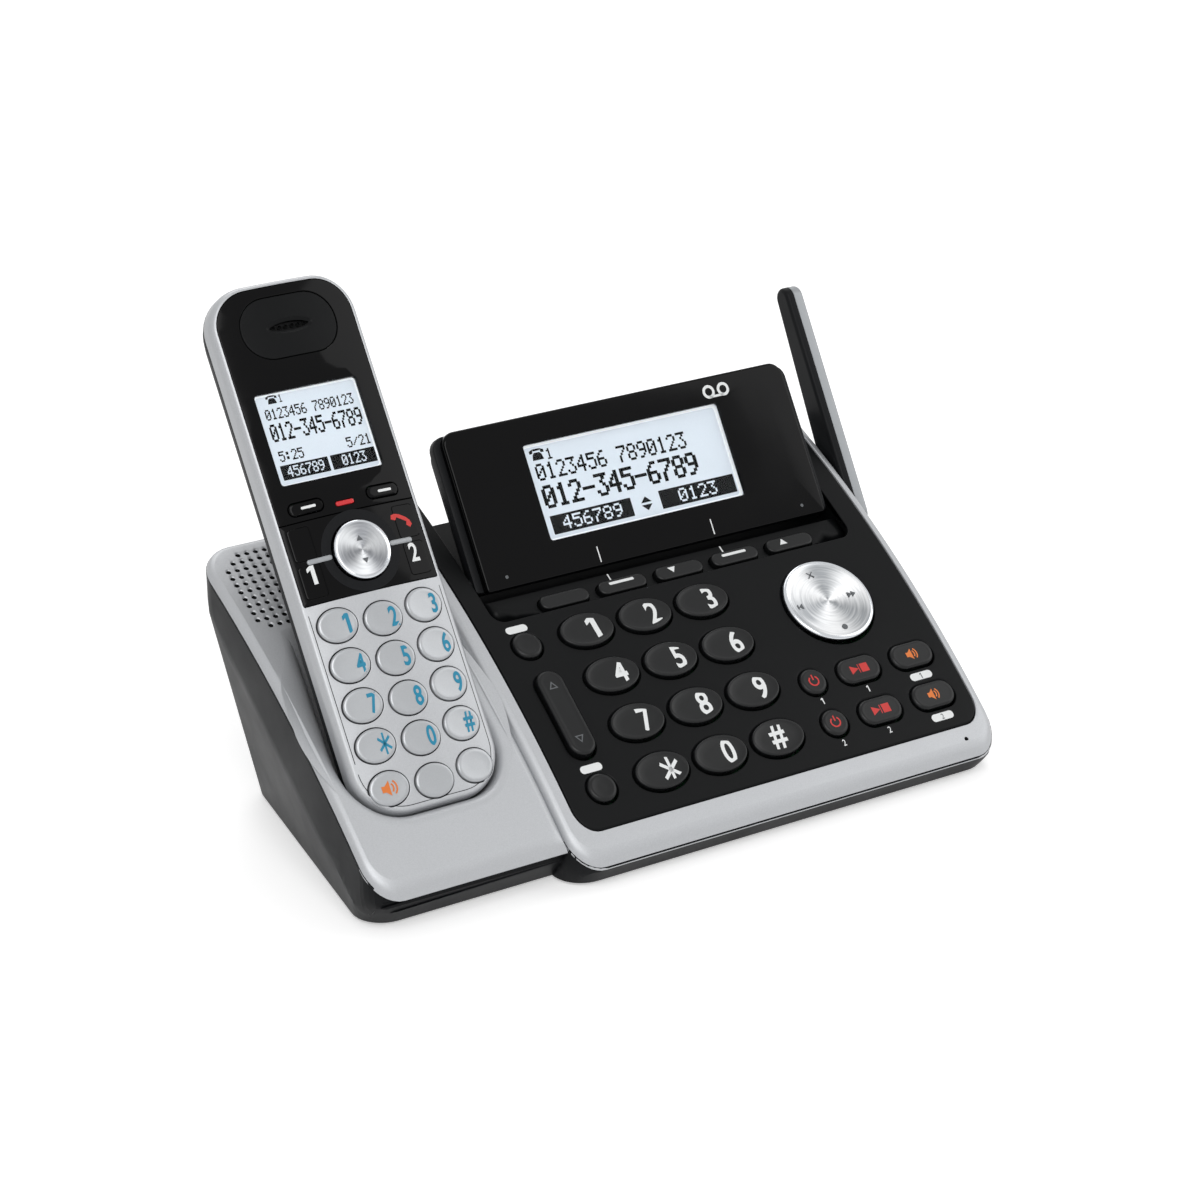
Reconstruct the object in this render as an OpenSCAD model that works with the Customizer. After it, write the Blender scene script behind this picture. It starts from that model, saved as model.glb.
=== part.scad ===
// Cordless telephone base with a two-line digital answering machine.
// The base stands on a table. A handset stands in its charging cradle on the left,
// a tilting display and the keys are on the right, and a folding antenna is on the right side.
// Millimetres. +X right, +Y back, +Z up. The origin is on the table, under the middle of the whole.

/* [Base housing] */
// Width of the base across cradle and console
base_w = 220; // [216:1:236]
// Width of the cradle half
cradle_w = 63.4; // [62:0.2:66]
// Front edge of the console, measured forward from the middle of the keypad
console_reach = 36.9; // [36:0.1:40]
// Front edge of the cradle, measured forward from the middle of the keypad
cradle_reach = 30.8; // [29:0.1:32]
// Back wall, measured backward from the middle of the keypad
rear_reach = 80; // [78:1:90]
// Height of the keypad's middle above the table
key_z = 40; // [39:0.5:46]
// Slope of the top at the keypad's middle, degrees
key_slope = 35.25; // [34:0.25:36]
// Radius of the arc that the top follows from front to back
arc_r = 386; // [380:2:420]
// Thickness of the top plates
plate_t = 2; // [1.8:0.1:2.4]
// Wall of the lower housing
wall = 2.2; // [1.8:0.1:2.6]
// Height of the upright band on the sides, under the top plates
band_h = 18; // [12:0.5:20]
// Inward lean of the sides under that band, degrees
side_lean = 15; // [8:1:17]
// Inward lean of the front under the top plates, degrees
front_lean = 38; // [30:1:42]
// Thickness of the rubber feet that shows
foot_h = 1; // [0.6:0.1:2]
// Radius of a rubber foot
foot_r = 6; // [4:0.5:8]

/* [Console] */
// Middle of the keypad, measured from the middle of the base
keypad_x = 13.5; // [13:0.1:14.5]
// Silver rail left of the key panel
left_rail = 5.6; // [5:0.1:6]
// Silver rail right of the key panel
right_rail = 3.4; // [3:0.1:4]
// Silver rail in front of the key panel, along the slope
front_rail = 9; // [8:0.1:9.4]
// Ledge that carries the key panel inside the rails
ledge = 2; // [1.5:0.1:2.2]
// Clearance round a part that sits in an opening
fit_gap = 0.15; // [0.1:0.05:0.3]
// Depth of the recess with the soft keys
strip_depth = 2.5; // [2:0.1:3]
// Depth of the bay that the display folds into
bay_depth = 9.4; // [9.2:0.1:11]

/* [Keys] */
// Distance between key columns
col_pitch = 21; // [20.8:0.1:21.4]
// Distance between key rows, along the slope
row_pitch = 17.3; // [17:0.1:17.8]
// Width of a digit key
digit_w = 18.4; // [16:0.1:18.6]
// Depth of a digit key, along the slope
digit_d = 12.2; // [11:0.1:12.6]
// How far a digit key stands out of the panel
digit_h = 2.6; // [2:0.1:3]
// Clearance between a key and its opening
key_gap = 0.4; // [0.3:0.05:0.5]
// Travel of a key
key_travel = 1; // [0.8:0.1:1.2]
// Radius of the four-way dial
dial_r = 14.3; // [13:0.1:14.6]
// How far the four-way dial stands out of the panel
dial_h = 2.4; // [2:0.1:3]

/* [Display] */
// Width of the display's front
display_w = 126.2; // [120:0.2:127]
// Height of the display's front
display_h = 51.4; // [48:0.2:54]
// Thickness of the display's front bezel
bezel_t = 2.5; // [2.2:0.1:3]
// Thickness of the display's back shell
shell_t = 8; // [7.6:0.1:8]
// Tilt of the display, degrees
display_tilt = 57; // [54:1:58]
// Width of the display's window
window_w = 71.6; // [66:0.2:74]
// Height of the display's window
window_h = 30.9; // [28:0.1:32]
// Radius of the display's hinge pins
hinge_pin_r = 2; // [1.8:0.1:2.2]

/* [Antenna] */
// Distance from the antenna's pivot to the middle of its tip
antenna_len = 74; // [60:1:90]
// Lean of the antenna from level, degrees
antenna_lean = 60; // [55:1:65]
// Width of the antenna's blade at the pivot
antenna_root_w = 12; // [11:0.2:13]
// Width of the antenna's blade at the tip
antenna_tip_w = 7.4; // [6:0.2:8]
// Thickness of the antenna's black half
antenna_black_t = 2.8; // [2.4:0.1:3.4]
// Thickness of the antenna's silver half
antenna_silver_t = 3.8; // [3:0.1:4.2]
// Radius of the antenna's pivot
pivot_r = 3; // [2.6:0.1:3.2]
// Running clearance of pivots, on the radius
run_gap = 0.05; // [0.03:0.01:0.08]

/* [Handset] */
// Length of the handset
handset_l = 163.4; // [156:0.2:168]
// Width of the handset
handset_w = 48; // [47:0.1:48.4]
// Thickness of the handset's silver front shell
front_t = 8; // [7:0.1:8.4]
// Thickness of the whole handset at its battery
handset_t = 24; // [22:0.5:24]
// Lean of the handset in the cradle, degrees
handset_lean = 54.9; // [54:0.1:56]
// Radius of the crown across the handset's face
crown_r = 117; // [110:1:140]
// Distance between key columns on the handset
hs_col = 14.2; // [13.8:0.1:14.4]
// Distance between key rows on the handset
hs_row = 12.25; // [12:0.05:12.6]
// Radius of the navigation key
nav_r = 9; // [8:0.1:9.4]
// Clearance round the handset in the pocket
pocket_gap = 1; // [0.8:0.1:1.2]

/* [Hidden] */
DIGITS = ["1", "2", "3", "4", "5", "6", "7", "8", "9", "star", "0", "pound"];
SOFT_KEYS = ["cancel_key", "left_soft_key", "down_key", "right_soft_key", "up_key"];

// A circle that large needs many sides, so that its flats stay under 0.01 mm
arc_fn = 720;
tall = 160;                                // taller than the base
eps = 0.01;

left_x = -base_w/2;
right_x = base_w/2;
seam_x = left_x + cradle_w;
arc_y = arc_r*sin(key_slope);              // centre of the arc
arc_z = key_z - arc_r*cos(key_slope);
function top_z(y) = arc_z + sqrt(pow(arc_r, 2) - pow(y - arc_y, 2));
function slope_at(s) = key_slope - s*180/(PI*arc_r);
function arc_at_y(y) = (key_slope - asin((arc_y - y)/arc_r))*PI*arc_r/180;

panel_x0 = seam_x + left_rail;
panel_x1 = right_x - right_rail;
panel_front = arc_at_y(-console_reach) + front_rail;
panel_r = 6.5;
outer_r = 9.5;                             // plan radius of the console's and cradle's front corners
rear_r = 11;

// The handset's own frame: +X across, +Y towards its earpiece, +Z out of its face.
// Its lower front edge meets the top of the cradle.
hs_x = left_x + cradle_w/2;
hs_below = 40;                             // from the middle of its keypad to its lower end
hs_y = 9.5;
hs_z = key_z + 22;
hs_front_r = 15;
hs_top_r = 13;

// The display's own frame: +X across, +Y up its face, +Z out of it, from the middle of its lower edge
disp_x = (panel_x0 + panel_x1)/2 - 0.5;
disp_s = 47.7;
disp_y = arc_y - arc_r*sin(slope_at(disp_s));
disp_z = top_z(disp_y);
back_wider = 2.5;                          // the back shell is wider than the bezel on each side
hinge_up = 4.5;
hinge_in = 6.5;
window_x = -0.9;                           // middle of the window from the middle of the bezel
window_up = 11.4;

bay_x0 = disp_x - display_w/2 - back_wider - 0.8;
bay_x1 = disp_x + display_w/2 + back_wider + 0.8;
bay_front = 46;
strip_front = 36.3;
strip_s = 40;
strip_r = 4;
strip_y = arc_y - arc_r*sin(slope_at(strip_front));

// Where the keys are: x from the middle of the base, s along the slope from the keypad's middle
flange_t = 1;
flange_lap = 0.5;                          // how far the flange reaches past the opening's edge
flange_drop = 0.2;
digit_s = [1.5*row_pitch, 0.5*row_pitch, -0.5*row_pitch, -1.5*row_pitch];
side_key_x = keypad_x - 2*col_pitch;
side_key_r = 4.7;
side_key_h = 2.4;
volume_w = 8.8;
volume_l = 33;
volume_h = 2.2;
dial_x = keypad_x + 3*col_pitch;
dial_s = 14.6;
answer_x = keypad_x + 2*col_pitch + 0.2;
mailbox_x = answer_x + 17.3;
line_x = mailbox_x + 20.4;
tape_s = [-11.3, -26.3];                   // rows of the answer, mailbox and line keys
tape_w = 15.5;
tape_d = 8.8;
tape_h = 1.8;
answer_r = 4.5;
soft_w = 17.2;
soft_d = 5.2;
soft_h = 1.8;

// The board lies parallel to the top at the keypad's middle
board_depth = 12;
board_t = 1.6;
board_x0 = seam_x + 7;
board_x1 = right_x - 7;
board_s0 = -35;
board_s1 = 41.2;

grille_back = 20.402;                      // from the back wall to the grille's middle
grille_x = left_x + cradle_w/2 - 0.5;
grille_s = arc_at_y(rear_reach - grille_back);
grille_pitch = 2.94;
grille_r = 0.75;
grille_cols = 18;
grille_rows = 12;
speaker_r = 14;
speaker_t = 8;

antenna_x = right_x + 0.4;
pivot_y = 52;
pivot_z = key_z + 16.4;
tip_r = antenna_tip_w/2;
tip_y = pivot_y + antenna_len*cos(antenna_lean);

// The middle of the whole, over which the origin lies
mid_x = (left_x + antenna_x + antenna_black_t + antenna_silver_t)/2;
mid_y = (tip_y + tip_r - console_reach)/2;

black = "#232526";
gloss = "#0c0d0f";
silver = "#b9bcc0";
steel = "#c9ccd0";

// ---- Shared shapes ----

module place(c) color(c) translate([-mid_x, -mid_y, 0]) children();

// Points of an arc, and of a box with its own radius at each corner, from the front left, anticlockwise
function arc_pts(x, y, r, a, n = 8) = r <= 0 ? [[x, y]]
    : [for (i = [0:n]) [x + r*cos(a + 90*i/n), y + r*sin(a + 90*i/n)]];
function box_pts(x0, y0, x1, y1, r) = concat(
    arc_pts(x0 + r[0], y0 + r[0], r[0], 180), arc_pts(x1 - r[1], y0 + r[1], r[1], 270),
    arc_pts(x1 - r[2], y1 - r[2], r[2], 0), arc_pts(x0 + r[3], y1 - r[3], r[3], 90));
function oval_pts(w, d, n = 32) = [for (i = [0:n - 1]) [w/2*cos(360*i/n), d/2*sin(360*i/n)]];
function pill_pts(w, d) = let (r = min(w, d)/2) box_pts(-w/2, -d/2, w/2, d/2, [r, r, r, r]);

module box2d(x0, y0, x1, y1, r) polygon(box_pts(x0, y0, x1, y1, r));
module along_x(x0, x1) translate([x0, 0, 0]) rotate([90, 0, 90]) linear_extrude(x1 - x0) children();
module arc_disc(h) translate([arc_y, arc_z]) circle(r = arc_r + h, $fn = arc_fn);

// A plate between two depths under the arc of the top
module band(x0, x1, y0, y1, h0, h1) along_x(x0, x1) intersection() {
    difference() {
        arc_disc(h1);
        arc_disc(h0);
    }
    translate([y0, 0]) square([y1 - y0, tall]);
}

// What follows stands on the top at distance s up the slope, with +Z out of the surface
module on_top(x, s, h = 0) translate([x, arc_y, arc_z]) rotate([slope_at(s), 0, 0])
    translate([0, 0, arc_r + h]) children();

module prism(pts, z0, z1) translate([0, 0, z0]) linear_extrude(z1 - z0) polygon(pts);
module rod(r, z0, z1) translate([0, 0, z0]) cylinder(r = r, h = z1 - z0, $fn = 48);
module rod_x(r, x0, x1) translate([x0, 0, 0]) rotate([0, 90, 0]) cylinder(r = r, h = x1 - x0, $fn = 48);

// ---- Base housing ----

plate_drop = plate_t/cos(key_slope + 5);
function lip_z(reach) = top_z(-reach) - plate_drop - 0.6;
function front_pts(reach, w) = [
    [-reach + w, tall],
    [-reach + w, lip_z(reach) + w*tan(front_lean/2)],
    [-reach + (lip_z(reach) + w*sin(front_lean) - foot_h - w)*tan(front_lean) + w*cos(front_lean),
     foot_h + w]];

// The inside or outside of one half of the lower housing
module half_block(x0, x1, reach, radii, w, top) intersection() {
    along_x(x0, x1) intersection() {
        arc_disc(top);
        polygon(concat(front_pts(reach, w), [[rear_reach - w, foot_h + w], [rear_reach - w, tall]]));
    }
    linear_extrude(tall) box2d(x0, -reach + w, x1, rear_reach - w, radii);
}

band_z = key_z - plate_drop - band_h;      // lower edge of the side band at the keypad's middle
band_rise = 34;                            // the band follows the top's mean slope
module side_taper(w) translate([0, 0, band_z]) rotate([band_rise, 0, 0]) rotate([90, 0, 0])
    translate([0, 0, -tall]) linear_extrude(2*tall) polygon([
        [left_x + w, tall], [left_x + w, 0], [left_x + w + tall*tan(side_lean), -tall],
        [right_x - w - tall*tan(side_lean), -tall], [right_x - w, 0], [right_x - w, tall]]);

module housing_outside() intersection() {
    union() {
        half_block(left_x, seam_x + 1, cradle_reach, [outer_r, 0, 0, rear_r], 0, -plate_t);
        half_block(seam_x, right_x, console_reach, [outer_r, outer_r, rear_r, 0], 0, -plate_t);
    }
    side_taper(0);
}

module housing_inside() intersection() {
    union() {
        half_block(left_x + wall, seam_x + wall + 1, cradle_reach,
                   [outer_r - wall, 0, 0, rear_r - wall], wall, 5);
        half_block(seam_x + wall, right_x - wall, console_reach,
                   [outer_r - wall, outer_r - wall, rear_r - wall, 0], wall, 5);
    }
    side_taper(wall);
}

// Screws come up from below at the back, two into the cradle's cover and two into the key panel
screw_back = [6.4, 13];                     // from the back wall, under the cradle and the console
screw_spots = [[left_x + 19.3, rear_reach - screw_back[0]], [seam_x - 15.5, rear_reach - screw_back[0]],
               [bay_x0 + 14, rear_reach - screw_back[1]], [bay_x1 - 10, rear_reach - screw_back[1]]];
screw_r = 1.5;
screw_head_r = 2.8;
boss_r = 4;
boss_top = 34;

jack_x = 20;                               // middle of the jacks on the back wall
jack_w = 46;
jack_d = 14;
jack_z = 14;
jack_h = 15;

module base_bottom() place(black) {
    difference() {
        union() {
            difference() {
                housing_outside();
                housing_inside();
            }
            intersection() {
                housing_outside();
                union() {
                    for (p = screw_spots) translate([p[0], p[1], 0]) rod(boss_r, foot_h, boss_top);
                    translate([0, pivot_y, pivot_z]) rod_x(pivot_r + 3, right_x - 5, right_x);
                    floor_ribs();
                    translate([jack_x - jack_w/2, rear_reach - jack_d, foot_h])
                        cube([jack_w, jack_d, jack_z - foot_h]);
                }
            }
        }
        bay_space(plate_t + fit_gap, 5);
        for (p = screw_spots) translate([p[0], p[1], 0]) {
            rod(screw_r + 0.2, 0, tall);
            rod(screw_head_r + 0.3, 0, foot_h + 3);
        }
        translate([0, pivot_y, pivot_z]) rod_x(pivot_r + run_gap, right_x - 20, right_x + 1);
        translate([jack_x - jack_w/2 - fit_gap, rear_reach - wall - 1, jack_z - fit_gap])
            cube([jack_w + 2*fit_gap, wall + 2, jack_h + 2*fit_gap]);
    }
}

// Two stiffening ribs stand on the floor under the console
rib_y = -5;
module floor_ribs() for (x = [seam_x + 30, right_x - 40])
    translate([x, rib_y, foot_h]) cube([1.6, rear_reach - jack_d - rib_y - 5, 10]);

// A pillar under a cover, which a case screw bites into
module pillar(p, h) translate([p[0], p[1], 0]) intersection() {
    difference() {
        rod(boss_r - 0.5, boss_top, tall);
        rod(screw_r, boss_top - 1, boss_top + 12);
    }
    translate([0, -p[1], 0]) along_x(-boss_r, boss_r) arc_disc(h);
}

// ---- Cradle ----

module in_handset() translate([hs_x, hs_y, hs_z]) rotate([handset_lean, 0, 0]) children();

// The well that the handset stands in, in the handset's frame. g is the clearance round the handset.
well_floor = hs_below + 0.4;
well_back = handset_t + 0.6;
function well_pts(g) = let (w = handset_w/2 + g) [
    [-w, 30], [-w, -10], [-w + 6, -well_back - g + pocket_gap],
    [w - 6, -well_back - g + pocket_gap], [w, -10], [w, 30]];
module well(g, down) in_handset() intersection() {
    rotate([90, 0, 0]) translate([0, 0, -tall]) linear_extrude(tall + well_floor + down)
        polygon(well_pts(g));
    translate([0, 0, -60]) linear_extrude(120)
        box2d(-handset_w/2 - g, -well_floor - down, handset_w/2 + g, tall,
              [hs_front_r + down, hs_front_r + down, 0, 0]);
}

module grille_holes() for (j = [0:grille_rows - 1], i = [0:grille_cols - 1])
    if (min(i, grille_cols - 1 - i) + min(j, grille_rows - 1 - j) > 1)
        on_top(grille_x + (i - (grille_cols - 1)/2)*grille_pitch,
               grille_s + (j - (grille_rows - 1)/2)*grille_pitch)
            rod(grille_r, -plate_t - 1, 1);

contact_x = [-6, 6];                       // the two charging contacts
contact_w = 4;
contact_t = 0.9;
contact_v = -12;                           // their depth under the handset's face

module cradle_cover() place(silver) difference() {
    union() {
        intersection() {
            band(left_x, seam_x, -cradle_reach, rear_reach, -plate_t, 0);
            linear_extrude(tall) box2d(left_x, -cradle_reach, seam_x, rear_reach, [outer_r, 0, 0, rear_r]);
        }
        intersection() {
            well(pocket_gap + plate_t, plate_t);
            along_x(left_x, seam_x) intersection() {
                arc_disc(-plate_t/2);
                translate([-cradle_reach + wall, 0]) square([rear_reach, tall]);
            }
        }
        for (i = [0, 1]) pillar(screw_spots[i], -plate_t/2);
        intersection() {                   // ring that holds the speaker
            on_top(hs_x, grille_s) difference() {
                rod(speaker_r + 1.6, -plate_t - 5, 0);
                rod(speaker_r + fit_gap, -plate_t - 6, 1);
            }
            band(left_x, seam_x, -cradle_reach, rear_reach, -plate_t - 6, -plate_t/2);
        }
    }
    well(pocket_gap, 0);
    grille_holes();
    for (x = contact_x) in_handset()
        translate([x - contact_w/2 - fit_gap, -well_floor - plate_t - 1, contact_v - contact_t/2 - fit_gap])
            cube([contact_w + 2*fit_gap, plate_t + 2, contact_t + 2*fit_gap]);
}

// Sprung brass strips that stand up through the floor of the well
module charge_contacts() place("#c9a54c") in_handset() for (x = contact_x)
    translate([x - contact_w/2, -well_floor - plate_t, contact_v - contact_t/2])
        cube([contact_w, plate_t + 0.1, contact_t]);

module base_speaker() place("#3a3a3c") on_top(hs_x, grille_s, -plate_t - 0.35) {
    rod(speaker_r, -2, 0);
    rod(speaker_r - 4, -speaker_t + 3, -2);
    rod(speaker_r - 7, -speaker_t, -speaker_t + 3);
}

// ---- Console ----

module console_outline(g) box2d(seam_x + g, -console_reach + g, right_x - g, rear_reach - g,
                                [outer_r - g, outer_r - g, rear_r - g, 0]);
panel_front_y = arc_y - arc_r*sin(slope_at(panel_front));
module panel_outline(g) box2d(panel_x0 + g, panel_front_y + g, panel_x1 - g, rear_reach,
                              [panel_r - g, panel_r - g, 0, 0]);

module console_frame() place(silver) difference() {
    union() {
        intersection() {
            band(seam_x, right_x, -console_reach, rear_reach, -plate_t, 0);
            linear_extrude(tall) console_outline(0);
        }
        intersection() {                   // ledge inside the housing, under the panel's edge
            band(seam_x, right_x, -console_reach, rear_reach, -plate_t - 1.4, -plate_t/2);
            linear_extrude(tall) difference() {
                console_outline(wall + fit_gap);
                panel_outline(ledge);
            }
        }
    }
    intersection() {                       // seat of the key panel
        band(seam_x, right_x, -console_reach, rear_reach + 1, -plate_t, 5);
        linear_extrude(tall) box2d(panel_x0, panel_front_y, panel_x1, rear_reach + 1,
                                   [panel_r, panel_r, 0, 0]);
    }
    linear_extrude(tall) panel_outline(ledge);
    on_top(panel_x1 - 9, (panel_front + arc_at_y(-console_reach))/2) rod(0.7, -plate_t - 3, 2);
}

module digit_places() for (i = [0:11])
    on_top(keypad_x + (i % 3 - 1)*col_pitch, digit_s[floor(i/3)]) children();
module soft_places() for (i = [0:4]) on_top(keypad_x + (i - 1)*col_pitch, strip_s) children();
module tape_places(x) for (s = tape_s) on_top(x, s) children();

// The soft keys' recess and the display's bay, grown by g on all sides. Their front
// walls are square to the top.
module beyond(s) polygon([[arc_y, arc_z], [arc_y, arc_z + arc_r + 60],
    [arc_y - (arc_r + 60)*sin(slope_at(s)), arc_z + (arc_r + 60)*cos(slope_at(s))]]);
module trough(s, depth, g, extra) along_x(bay_x0 - g, bay_x1 + g) intersection() {
    difference() {
        arc_disc(5);
        arc_disc(-depth - g);
    }
    beyond(s - g);
    square([rear_reach + extra, tall]);
}
module bay_space(g, extra) {
    trough(bay_front, bay_depth, g, extra);
    intersection() {
        trough(strip_front, strip_depth, g, extra);
        linear_extrude(tall) box2d(bay_x0 - g, strip_y - g, bay_x1 + g, rear_reach + extra,
                                   [strip_r + g, strip_r + g, 0, 0]);
    }
}

// Posts under the panel that the board is screwed to
board_posts = [[keypad_x - 1.6*col_pitch, 1], [keypad_x - 1.6*col_pitch, -1],
               [keypad_x + 1.6*col_pitch, 1], [keypad_x + 1.6*col_pitch, -1]];
post_r = 1.8;

module on_board(s) on_top(0, 0, -board_depth) translate([0, s, 0]) children();

module hinge_at() translate([0, disp_y, disp_z]) rotate([display_tilt, 0, 0])
    translate([0, hinge_up, -hinge_in]) children();

volume_pin_r = 1.1;
volume_ear = 2.4;
volume_drop = plate_t + 2.2;               // depth of the rocker's pivot

module key_panel() place(black) difference() {
    union() {
        intersection() {
            band(panel_x0, panel_x1, -console_reach, rear_reach, -plate_t, 0);
            linear_extrude(tall) panel_outline(fit_gap);
        }
        intersection() {
            bay_space(plate_t, 0);
            band(panel_x0, panel_x1, -console_reach, rear_reach, -tall, -plate_t/2);
        }
        for (i = [2, 3]) pillar(screw_spots[i], -bay_depth - plate_t/2);
        intersection() {
            on_board(0) for (p = board_posts)
                translate([p[0], p[1]*row_pitch, 0]) rod(post_r, 0, board_depth + 5);
            band(panel_x0, panel_x1, -console_reach, rear_reach, -tall, -plate_t/2);
        }
        intersection() {                   // ears that carry the volume rocker
            on_top(side_key_x, 0) for (m = [0, 1]) mirror([m, 0, 0])
                translate([volume_w/2 + key_gap, -3, -volume_drop - 2])
                    cube([volume_ear, 6, volume_drop + 2]);
            band(panel_x0, panel_x1, -console_reach, rear_reach, -tall, -plate_t/2);
        }
    }
    bay_space(0, 1);
    digit_places() prism(oval_pts(digit_w + 2*key_gap, digit_d + 2*key_gap), -plate_t - 2, 5);
    soft_places() prism(pill_pts(soft_w + 2*key_gap, soft_d + 2*key_gap), -strip_depth - plate_t - 2, 5);
    for (i = [0, 3]) on_top(side_key_x, digit_s[i]) rod(side_key_r + key_gap, -plate_t - 2, 5);
    on_top(side_key_x, 0) prism(pill_pts(volume_w + 2*key_gap, volume_l + 2*key_gap), -plate_t - 2, 5);
    on_top(side_key_x, 0, -volume_drop) rod_x(volume_pin_r + run_gap, -12, 12);
    on_top(dial_x, dial_s) rod(dial_r + 2*key_gap, -plate_t - 2, 5);
    tape_places(answer_x) rod(answer_r + key_gap, -plate_t - 2, 5);
    tape_places(mailbox_x) prism(pill_pts(tape_w + 2*key_gap, tape_d + 2*key_gap), -plate_t - 2, 5);
    tape_places(line_x) prism(pill_pts(tape_w + 2*key_gap, tape_d + 2*key_gap), -plate_t - 2, 5);
    hinge_at() rod_x(hinge_pin_r + run_gap, bay_x0 - plate_t - 1, bay_x1 + plate_t + 1);
}

// A switch on the board under a key. The key's foot ends at depth h below the top at s.
switch_r = 1.6;
foot_gap = 0.3;
function foot_run(s, h) = (arc_r - h)*sin(slope_at(0) - slope_at(s));
function foot_rise(s, h) = (arc_r - h)*cos(slope_at(0) - slope_at(s)) - (arc_r - board_depth);
module switch(x, s, h) translate([x, foot_run(s, h), 0])
    rod(switch_r, -eps, foot_rise(s, h) - key_travel - foot_gap);

key_foot = 7;                              // depth of the ordinary keys' feet
soft_foot = 8.2;
dial_ball_r = 2;
dial_ball = 7;                             // depth of the dial's ball

module main_board() place("#2f6b3c") difference() {
    on_board(0) {
        translate([board_x0, board_s0, -board_t])
            cube([board_x1 - board_x0, board_s1 - board_s0, board_t]);
        for (i = [0:11])
            switch(keypad_x + (i % 3 - 1)*col_pitch, digit_s[floor(i/3)], key_foot);
        for (i = [0:4]) switch(keypad_x + (i - 1)*col_pitch, strip_s, soft_foot);
        for (i = [0, 3]) switch(side_key_x, digit_s[i], key_foot);
        for (s = [-volume_l/3, volume_l/3]) switch(side_key_x, s, key_foot);
        for (x = [answer_x, mailbox_x, line_x], s = tape_s) switch(x, s, key_foot);
        translate([dial_x, foot_run(dial_s, dial_ball), 0])
            rod(dial_ball_r + 1.4, -eps, foot_rise(dial_s, dial_ball) - 0.6);
    }
    on_top(dial_x, dial_s, -dial_ball) sphere(r = dial_ball_r + run_gap, $fn = 48);
}

module jack_block() place("#1a1a1c") difference() {
    translate([jack_x - jack_w/2, rear_reach - jack_d, jack_z]) cube([jack_w, jack_d, jack_h]);
    for (i = [0, 1]) translate([jack_x + line_jack_x[i], rear_reach, jack_z + jack_h/2]) {
        translate([-5, -10, -4]) cube([10, 11, 8]);
        translate([-2, -10, -6]) cube([4, 11, 3]);
    }
    translate([jack_x + power_jack_x, rear_reach, jack_z + jack_h/2]) rotate([90, 0, 0])
        difference() {
            translate([0, 0, -1]) cylinder(r = 2.75, h = 10, $fn = 48);
            cylinder(r = 0.95, h = 9, $fn = 48);
        }
}
line_jack_x = [-14, 1];                    // the two telephone-line sockets
power_jack_x = 15;

foot_spots = [[left_x + 24, 4], [left_x + 24, rear_reach - 14],
              [right_x - 24, -16], [right_x - 24, rear_reach - 14]];
module rubber_feet() place("#2b2b2b") for (p = foot_spots)
    translate([p[0], p[1], 0]) rod(foot_r, 0, foot_h);

module case_screws() place(steel) for (p = screw_spots) translate([p[0], p[1], 0]) difference() {
    union() {
        rod(screw_r, foot_h + 2, boss_top + 8);
        rod(screw_head_r, foot_h + 1.2, foot_h + 3);
    }
    for (a = [0, 90]) rotate([0, 0, a]) translate([-1.8, -0.35, foot_h]) cube([3.6, 0.7, 2]);
}

// ---- Keys on the base ----

// A key in the local frame of the top: cap, flange under the plate and a foot
module press_key(cap, flange, out, under, depth) {
    prism(cap, under - plate_t - flange_drop - flange_t, under + out);
    prism(flange, under - plate_t - flange_drop - flange_t, under - plate_t - flange_drop);
    rod(switch_r, -depth, under - plate_t);
}
module round_key(r, out) {
    rod(r, -plate_t - flange_drop - flange_t, out);
    rod(r + key_gap + flange_lap, -plate_t - flange_drop - flange_t, -plate_t - flange_drop);
    rod(switch_r, -key_foot, -plate_t);
}

lap = 2*(key_gap + flange_lap);
module digit_key(i) place(black) on_top(keypad_x + (i % 3 - 1)*col_pitch, digit_s[floor(i/3)])
    press_key(oval_pts(digit_w, digit_d), oval_pts(digit_w + lap, digit_d + lap), digit_h, 0, key_foot);
module soft_key(i) place(black) on_top(keypad_x + (i - 1)*col_pitch, strip_s)
    press_key(pill_pts(soft_w, soft_d), pill_pts(soft_w + lap, soft_d + lap),
              soft_h, -strip_depth, soft_foot);
module tape_key(x, s) place(gloss) on_top(x, s)
    press_key(pill_pts(tape_w, tape_d), pill_pts(tape_w + lap, tape_d + lap), tape_h, 0, key_foot);
module answer_key(s) place(gloss) on_top(answer_x, s) round_key(answer_r, tape_h);
module side_key(i) place(black) on_top(side_key_x, digit_s[i]) round_key(side_key_r, side_key_h);

module hold_key() side_key(0);
module flash_key() side_key(3);
module answer_key_1() answer_key(tape_s[0]);
module answer_key_2() answer_key(tape_s[1]);
module mailbox_key_1() tape_key(mailbox_x, tape_s[0]);
module mailbox_key_2() tape_key(mailbox_x, tape_s[1]);
module line_key_1() tape_key(line_x, tape_s[0]);
module line_key_2() tape_key(line_x, tape_s[1]);

// Rocks about a cross pin in the panel's ears
module volume_rocker() place(black) on_top(side_key_x, 0) {
    prism(pill_pts(volume_w, volume_l), -volume_drop, volume_h);
    for (s = [-volume_l/3, volume_l/3]) translate([0, s, 0]) rod(switch_r, -key_foot + 0.6, -volume_drop);
    translate([0, 0, -volume_drop])
        rod_x(volume_pin_r, -volume_w/2 - key_gap - volume_ear, volume_w/2 + key_gap + volume_ear);
}

// Rocks on a ball that stands in a cup on the board
module four_way_dial() place(steel) on_top(dial_x, dial_s) {
    rod(dial_r, -plate_t, dial_h);
    rod(dial_r - 3, -plate_t - 1, -plate_t);
    rod(dial_ball_r - 0.5, -dial_ball, -plate_t);
    translate([0, 0, -dial_ball]) sphere(r = dial_ball_r, $fn = 48);
}

// ---- Display ----

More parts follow.
